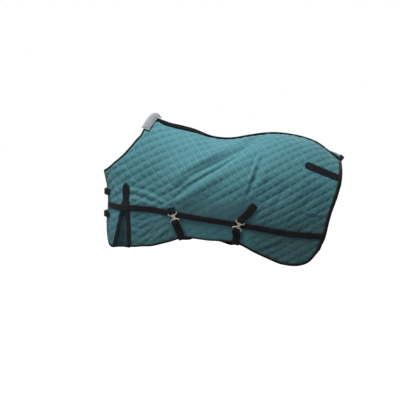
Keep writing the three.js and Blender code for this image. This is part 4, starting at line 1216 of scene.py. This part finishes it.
def add_wither_pad():
    """Fleece in a bound border, folded over the crest and a little forward of the neckline."""
    low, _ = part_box("wither_pad")
    heights = lift_points(EDGE[:140], np.zeros(140), "left")[:, 2]
    reach = EDGE_RUN[np.argmax(heights < low[2] / MM + 9)]
    overhang, width, rows, columns = 15.0, 51.0, 91, 34
    run = np.linspace(-reach, reach, rows)[:, None]
    inset = np.linspace(-overhang, width - overhang, columns)
    down = abs(run) / reach
    edge, way = (np.concatenate([np.interp(abs(run), EDGE_RUN, values[:, k]) for k in (0, 1)], -1)
                 for values in (EDGE, EDGE_IN))
    turn = smoothstep(abs(run), 0, 50)
    way = unit(way * turn + np.array([1.0, 0.0]) * (1 - turn))
    spots = edge[:, None] + way[:, None] * (inset + 11 * (1 - down) ** 0.8)[..., None]
    border = np.minimum(reach - abs(run), np.minimum(inset + overhang, width - overhang - inset))
    swell = 0.22 + 0.16 * smoothstep(border, 0, 1.5) + 0.62 * smoothstep(border, 4.5, 13)
    uneven = 0.7 * noise(run, inset, 9, 41) + 0.5 * noise(run, inset, 5, 42)
    base = 5.2 + 14 * (1 - down) ** 2 * (1 - 0.6 * smoothstep(inset, 5, 36))
    under = 5.4 + 1.6 * (1 - down) ** 2 + 0 * swell
    layers = []
    for lift in (base + 8 * swell + uneven * smoothstep(border, 4, 9), under):
        left, right = (lift_points(spots, lift, side) for side in ("left", "right"))
        point = np.where((run < 0)[..., None], left, right)
        point[rows // 2, :, 1] = 0
        layers.append(point)
    pad = make_skin("wither_pad_fleece", "wither_pad", *layers, grid_quads(rows, columns), FLEECE,
                    layout_marks(run, inset, border))


# ---------------------------------------------------------------- straps

STRAP_WIDTH = 38.0
BELLY_STRAP_WIDTH = 48.0
WEB_THICKNESS = 2.2
UP = np.array([0.0, 0.0, 1.0])
FORE = np.array([1.0, 0.0, 0.0])
BELLY_STEPS = 260
SLIDE_SHARE = 0.66  # how far along its strap a slide sits
# Each clip's x, z and lean in degrees.
FRONT_CLIP, REAR_CLIP = (127.0, -640.0, 18.0), (546.0, -688.0, -24.0)
PLATE_LIFT, PLATE_THICKNESS = 8.0, 3.0
HOOK_LIFT = PLATE_LIFT + PLATE_THICKNESS + 0.6
BAR_PLACE = 27.5  # from a clip's middle to the bar that its webbing goes round


def on_side(x, z, lift, side="left"):
    a, s = place(x, z)
    point = worn(a, s) + outward(a, s) * lift
    return point * np.array([1, -1 if side == "right" else 1, 1])


def axes_at(x, z, lean):
    """Columns right, up, out and the origin, in millimetres, leaning by degrees about out."""
    origin = on_side(x, z, 0.0)
    out = unit(on_side(x, z, 1.0) - origin)
    up = np.array(Matrix.Rotation(math.radians(lean), 3, Vector(out)) @ Vector(unit(UP - out * out[2])))
    return np.column_stack([np.cross(up, out), up, out, origin])


def at(axes, p, q, r):
    return axes[:, :3] @ np.array([p, q, r], float) + axes[:, 3]


def loop_round(axes, bar, middle, direction):
    """The last places of a strap that is folded round a clip's bar and sewn down on itself."""
    legs = [(16, -4.2), (4, -4.4), (-2.5, -4), (-5.4, 0), (-2.5, 4), (6, 4), (24, 1.6)]
    return [at(axes, 0, bar + q * direction, middle + r) for q, r in legs]


def add_anchor(name, axes, top):
    points = [on_side(x, z, 5.6) for x, z in top]
    points += loop_round(axes, BAR_PLACE, PLATE_LIFT + PLATE_THICKNESS / 2, 1)
    free_strap(f"clip_anchor_{name}", f"anchor_{name}", points, axes[:, 0], BELLY_STRAP_WIDTH, 90)


def add_belly_strap(name, axes, near_route, far_route, under):
    """From the clip's hook, under the belly and up the off side. It gives the axes of the strap's slide."""
    points = loop_round(axes, -BAR_PLACE, HOOK_LIFT + PLATE_THICKNESS / 2, -1)[::-1]
    points += [on_side(x, z, 7) for x, z in near_route]
    far = [on_side(x, z, 8.6, "right") for x, z in far_route]
    near_end, far_end = points[-1], far[0]
    for t, rise in ((0.05, -3), (0.18, under * 0.3), (0.5, under), (0.82, under * 0.3), (0.95, -9)):
        points.append(near_end * (1 - t) + far_end * t + UP * rise)
    points += far
    turn = smoothstep(np.linspace(0, 1, BELLY_STEPS), 0.36, 0.55)[:, None]
    free_strap(f"belly_web_{name}", f"belly_strap_{name}", points, axes[:, 0] * (1 - turn) + FORE * turn,
               BELLY_STRAP_WIDTH, BELLY_STEPS)
    line = centripetal(points, 2000)
    run = run_along(line)
    i = int(np.searchsorted(run, SLIDE_SHARE * run[-1]))
    tangent = unit(line[i + 1] - line[i - 1])
    across = unit(FORE - tangent * tangent[0])
    return np.column_stack([across, np.cross(tangent, across), tangent, line[i]])


def add_far_anchor(name, x, z):
    line = flat_place([(x - 31, z + 3), (x, z), (x + 31, z - 3)])
    sewn_tape(f"far_anchor_patch_{name}", f"anchor_far_{name}", line, 44, 13.4, 1.8, "right", WEB)


def add_tail_strap():
    a, s = place(1204, -402)
    left = worn(a, s) - 26 * outward(a, s)
    right = left * np.array([1, -1, 1])
    points = []
    for t in (0, 0.12, 0.3, 0.5, 0.7, 0.88, 1):
        bow = 4 * t * (1 - t)
        points.append(left * (1 - t) + right * t - UP * 105 * bow + FORE * 26 * bow)
    free_strap("tail_strap_web", "tail_strap", points, UP, 30, 120)


# ---------------------------------------------------------------- metal fittings


def rounded(points, radius, steps=5):
    """A closed outline with its corners rounded."""
    p = np.array(points, float)
    found = []
    for i, here in enumerate(p):
        before, after = p[i - 1] - here, p[(i + 1) % len(p)] - here
        reach = min(radius, 0.45 * np.linalg.norm(before), 0.45 * np.linalg.norm(after))
        start, end = here + unit(before) * reach, here + unit(after) * reach
        for w in np.linspace(0, 1, steps):
            found.append((1 - w) ** 2 * start + 2 * w * (1 - w) * here + w * w * end)
    return found


def plate_shape(outlines, depth, bevel, middle=0.0):
    """Points and faces of a plate with rounded edges. The first outline is its edge, the others are holes."""
    data = bpy.data.curves.new("outline", "CURVE")
    data.dimensions, data.fill_mode = "2D", "BOTH"
    data.extrude = depth / 2 - bevel
    data.bevel_depth, data.bevel_resolution = bevel, 2
    data.offset = -bevel
    for outline in outlines:
        line = data.splines.new("POLY")
        line.points.add(len(outline) - 1)
        for point, (p, q) in zip(line.points, outline):
            point.co = (p, q, 0, 1)
        line.use_cyclic_u = True
    ob = add_object("outline", data)
    mesh = bpy.data.meshes.new_from_object(ob.evaluated_get(bpy.context.evaluated_depsgraph_get()))
    work = bmesh.new()
    work.from_mesh(mesh)
    bmesh.ops.remove_doubles(work, verts=work.verts, dist=1e-3)
    points = np.array([v.co[:] for v in work.verts]) + np.array([0, 0, middle])
    faces = [[v.index for v in f.verts] for f in work.faces]
    work.free()
    bpy.data.objects.remove(ob)
    bpy.data.curves.remove(data)
    bpy.data.meshes.remove(mesh)
    return points, faces


def combined(shapes):
    points, faces, count = [], [], 0
    for own_points, own_faces in shapes:
        points.append(own_points)
        faces += [[i + count for i in face] for face in own_faces]
        count += len(own_points)
    return np.vstack(points), faces


def set_in(axes, points):
    return points @ axes[:, :3].T + axes[:, 3]


def metal_piece(name, node, shapes, axes, body="rug"):
    points, faces = combined(shapes)
    ob = make_piece(name, node, set_in(axes, points), faces, METAL, None, body)
    ob.data.set_sharp_from_angle(angle=math.radians(50))


def clip_outlines(direction, waist, reach):
    """Half of a surcingle clip: a wide eye whose bar ends in horns, and a waist towards the middle."""
    top, low, high = 30.0, 18.0, 25.0
    half_edge = [(waist, reach), (waist + 2, 8), (30, low - 2), (31.8, low + 5), (31.2, top + 0.6),
                 (26, top + 0.2), (9, top - 1.0)]
    half_eye = [(25.5, low), (25.5, high - 0.6), (9, high - 1.2)]
    return [rounded([(-p, q * direction) for p, q in half] + [(p, q * direction) for p, q in half[::-1]], r)
            for half, r in ((half_edge, 4.5), (half_eye, 2.0))]


def box_outline(p0, p1, q0, q1, radius):
    return rounded([(p0, q0), (p1, q0), (p1, q1), (p0, q1)], radius)


def add_clip(name, clip):
    axes = axes_at(*clip)
    plate = clip_outlines(1, 9.5, -9) + [box_outline(-7, 7, -5, 6, 1.5)]
    metal_piece(f"clip_plate_cast_{name}", f"clip_plate_{name}",
                [plate_shape(plate, PLATE_THICKNESS, 1.0, PLATE_LIFT + 1.5)], axes)
    metal_piece(f"clip_hook_cast_{name}", f"clip_hook_{name}", [
        plate_shape(clip_outlines(-1, 6, -5), 3.4, 1.2, HOOK_LIFT + 1.6),
        plate_shape([box_outline(-4.5, 4.5, -1, 4, 1.2)], 8, 0.5, HOOK_LIFT - 3),
        plate_shape([box_outline(-9.5, 9.5, -1.5, 4.5, 2)], 2.6, 0.8, PLATE_LIFT - 2)], axes)
    return axes


def add_slide(name, axes):
    ring = [box_outline(-30, 30, -4.4, 4.4, 2.6), box_outline(-25.5, 25.5, -2, 2, 1.0)]
    metal_piece(f"slide_cast_{name}", f"slide_{name}", [plate_shape(ring, 14, 0.9)], axes,
                f"strap_slide_{name}")


# ---------------------------------------------------------------- chest fastenings

# The buckle's two bars lie this far from its middle, towards the billet and towards the chape.
TOE, HEEL = 21.2, -21.2
BUCKLE_LIFT = 9.0
KEEPER_PLACE = -68.0
CHEST_CLEARANCE = 2.2
CHEST_HEIGHTS = {"upper": -490.0, "lower": -640.0}
# Each strap's route: places across the chest and heights off it. The chape turns back round the heel
# bar, and the billet goes over the toe bar and through the keeper.
CHAPE = [(-112, 4.8), (-84, 4.8), (-56, 4.8), (-30, 4.8), (-22, 4.2), (-17.4, 6), (-16.2, 9), (-18, 12.4),
         (-22, 13.8), (-28, 12.8), (-36, 9.4), (-47, 7.9)]
BILLET = [(112, 4.8), (84, 4.8), (50, 2.6), (30, 2.2), (18, 2.4), (11, 4.4), (0, 10.4), (-11, 16),
          (-22, 17.4), (-32, 16.2), (-44, 12), (-54, 9.4), (-64, 8.8), (-104, 8.8)]


def chest_point(t, z, lift):
    """A place in front of the chest, t across from the middle, negative to the left."""
    front, height = float(along(CHEST_X, z)), lift + CHEST_CLEARANCE
    flat = np.array([front - height, t, z])
    skin, near = on_skin(np.array(abs(t)), z), on_skin(np.array(abs(t) + 2.0), z)
    step = near - skin
    length = np.linalg.norm(step)
    y = (skin[1] - step[0] / length * height) * (1 if t < 0 else -1)
    bent = np.array([skin[0] - abs(step[1]) / length * height, y, z])
    share = float(smoothstep(abs(t), 30, 62))
    return flat * (1 - share) + bent * share


def chest_strap(name, node, stations, z, count, cut):
    points = [chest_point(t, z, lift) for t, lift in stations]
    free_strap(name, node, points, UP, STRAP_WIDTH, count, cut)


def circle(radius, start, end, count, endpoint=True):
    turn = np.linspace(start, end, count, endpoint=endpoint)
    return radius * np.cos(turn), radius * np.sin(turn)


def ring_shape(profile, sides):
    """A closed profile (radius, height) turned round the q axis."""
    radius, height = np.array(profile).T[..., None]
    p, r = circle(1.0, 0, 2 * math.pi, sides, False)
    points = np.stack([radius * p, height + 0 * p, radius * r], -1)
    return points.reshape(-1, 3), grid_quads(len(profile), sides, True, True)


def bar_loop(outline, radius, sides=12):
    """A round bar bent along a closed outline in the p-q plane."""
    path = np.array(outline)
    tangent = unit(np.roll(path, -1, 0) - np.roll(path, 1, 0))
    normal = np.stack([tangent[:, 1], -tangent[:, 0]], -1)
    out, up = circle(radius, 0, 2 * math.pi, sides, False)
    flat = path[:, None] + normal[:, None] * out[:, None]
    points = np.concatenate([flat, np.broadcast_to(up[:, None], (*flat.shape[:2], 1))], -1)
    return points.reshape(-1, 3), grid_quads(len(path), sides, True, True)


def add_chest_fastening(name, z):
    front = float(along(CHEST_X, z))
    axes = np.column_stack([(0, 1, 0), (0, 0, 1), (-1, 0, 0), (front - CHEST_CLEARANCE, 0, z)]).astype(float)
    chest_strap(f"chest_chape_web_{name}", f"chest_chape_{name}", CHAPE, z, 200, (-29, -12, 4.0))
    chest_strap(f"chest_billet_web_{name}", f"chest_billet_{name}", BILLET, z, 260, (-20, 13, 4.5))

    bar, faces = bar_loop(box_outline(HEEL, TOE, -22.5, 22.5, 4), 1.9)
    bar[:, 2] += BUCKLE_LIFT
    metal_piece(f"buckle_bar_{name}", f"buckle_frame_{name}", [(bar, faces)], axes)

    half_tube = [(3, 19.0), (3.6, 19.6), (4.3, 19.6), (4.8, 19.0), (4.8, 17.6), (4.5, 17.2)]
    tube = [(radius, -height) for radius, height in half_tube] + half_tube[::-1]
    roller, faces = ring_shape(tube, 32)
    roller += np.array([TOE, 0, BUCKLE_LIFT])
    metal_piece(f"buckle_roll_{name}", f"buckle_roller_{name}", [(roller, faces)], axes, f"roller_{name}")

    collar, hole = ([(HEEL + p, BUCKLE_LIFT + q) for p, q in zip(*circle(*arc))] for arc in (
        (5.2, 0.95, 2 * math.pi + 0.1, 34), (3.1, 0, 2 * math.pi, 28, False)))
    collar += [(TOE - 6, 14.6), (TOE + 8, 14.4), (TOE + 8.6, 15.6), (TOE + 4, 17.2), (0, 17)]
    metal_piece(f"buckle_pin_{name}", f"buckle_tongue_{name}", [plate_shape([collar, hole], 5, 0.9)],
                axes[:, [0, 2, 1, 3]], f"tongue_{name}")

    foot = chest_point(KEEPER_PLACE, z, 0.0)
    out = unit(chest_point(KEEPER_PLACE, z, 1.0) - foot)
    keeper_axes = np.column_stack([UP, out, np.cross(UP, out), foot])
    points, faces = plate_shape([box_outline(-22.4, 22.4, 1, 12.6, 3), box_outline(-20.4, 20.4, 2.6, 11, 2)],
                                12, 0.35)
    x, y, across = points.T
    make_piece(f"keeper_web_{name}", f"keeper_{name}", set_in(keeper_axes, points), faces, WEB,
               layout_marks(x + y, across, 6 - abs(across)), f"keeper_loop_{name}")


add_wither_pad()
add_tail_strap()
FRONT_AXES, REAR_AXES = add_clip("front", FRONT_CLIP), add_clip("rear", REAR_CLIP)
add_anchor("front", FRONT_AXES, [(109, -580), (113, -600)])
add_anchor("rear", REAR_AXES, [(650, -556), (622, -590), (594, -624)])
add_slide("front", add_belly_strap("front", FRONT_AXES, [(158, -725), (173, -760), (183, -788)],
                                   [(524, -824), (532, -780), (540, -735), (546, -690)], 22))
add_slide("rear", add_belly_strap("rear", REAR_AXES, [(534, -760), (529, -790), (526, -815)],
                                  [(190, -800), (176, -760), (156, -705), (136, -640)], 4))
add_far_anchor("front", 134, -624)
add_far_anchor("rear", 546, -690)
for which, height in CHEST_HEIGHTS.items():
    add_chest_fastening(which, height)

# ---------------------------------------------------------------- floor and the end

FLOOR_HALF, FLOOR_Z = 30.0, -1.5

def add_floor():
    """A pale floor under the hanging rug. To the camera it glows nearly white, as the photograph's does."""
    mesh = bpy.data.meshes.new("floor")
    corners = [(-1, -1), (1, -1), (1, 1), (-1, 1)]
    mesh.from_pydata([(FLOOR_HALF * x, FLOOR_HALF * y, FLOOR_Z) for x, y in corners], [], [(0, 1, 2, 3)])
    look = Look("pale_floor")
    sockets = look.shader.inputs
    look.put(sockets["Base Color"], (0.26, 0.26, 0.26, 1))
    look.put(sockets["Roughness"], 0.9)
    look.put(sockets["Emission Color"], WHITE)
    look.put(sockets["Emission Strength"], look.times(look.seen(), 0.9))
    mesh.materials.append(look.material)
    add_object("floor", mesh)


add_floor()
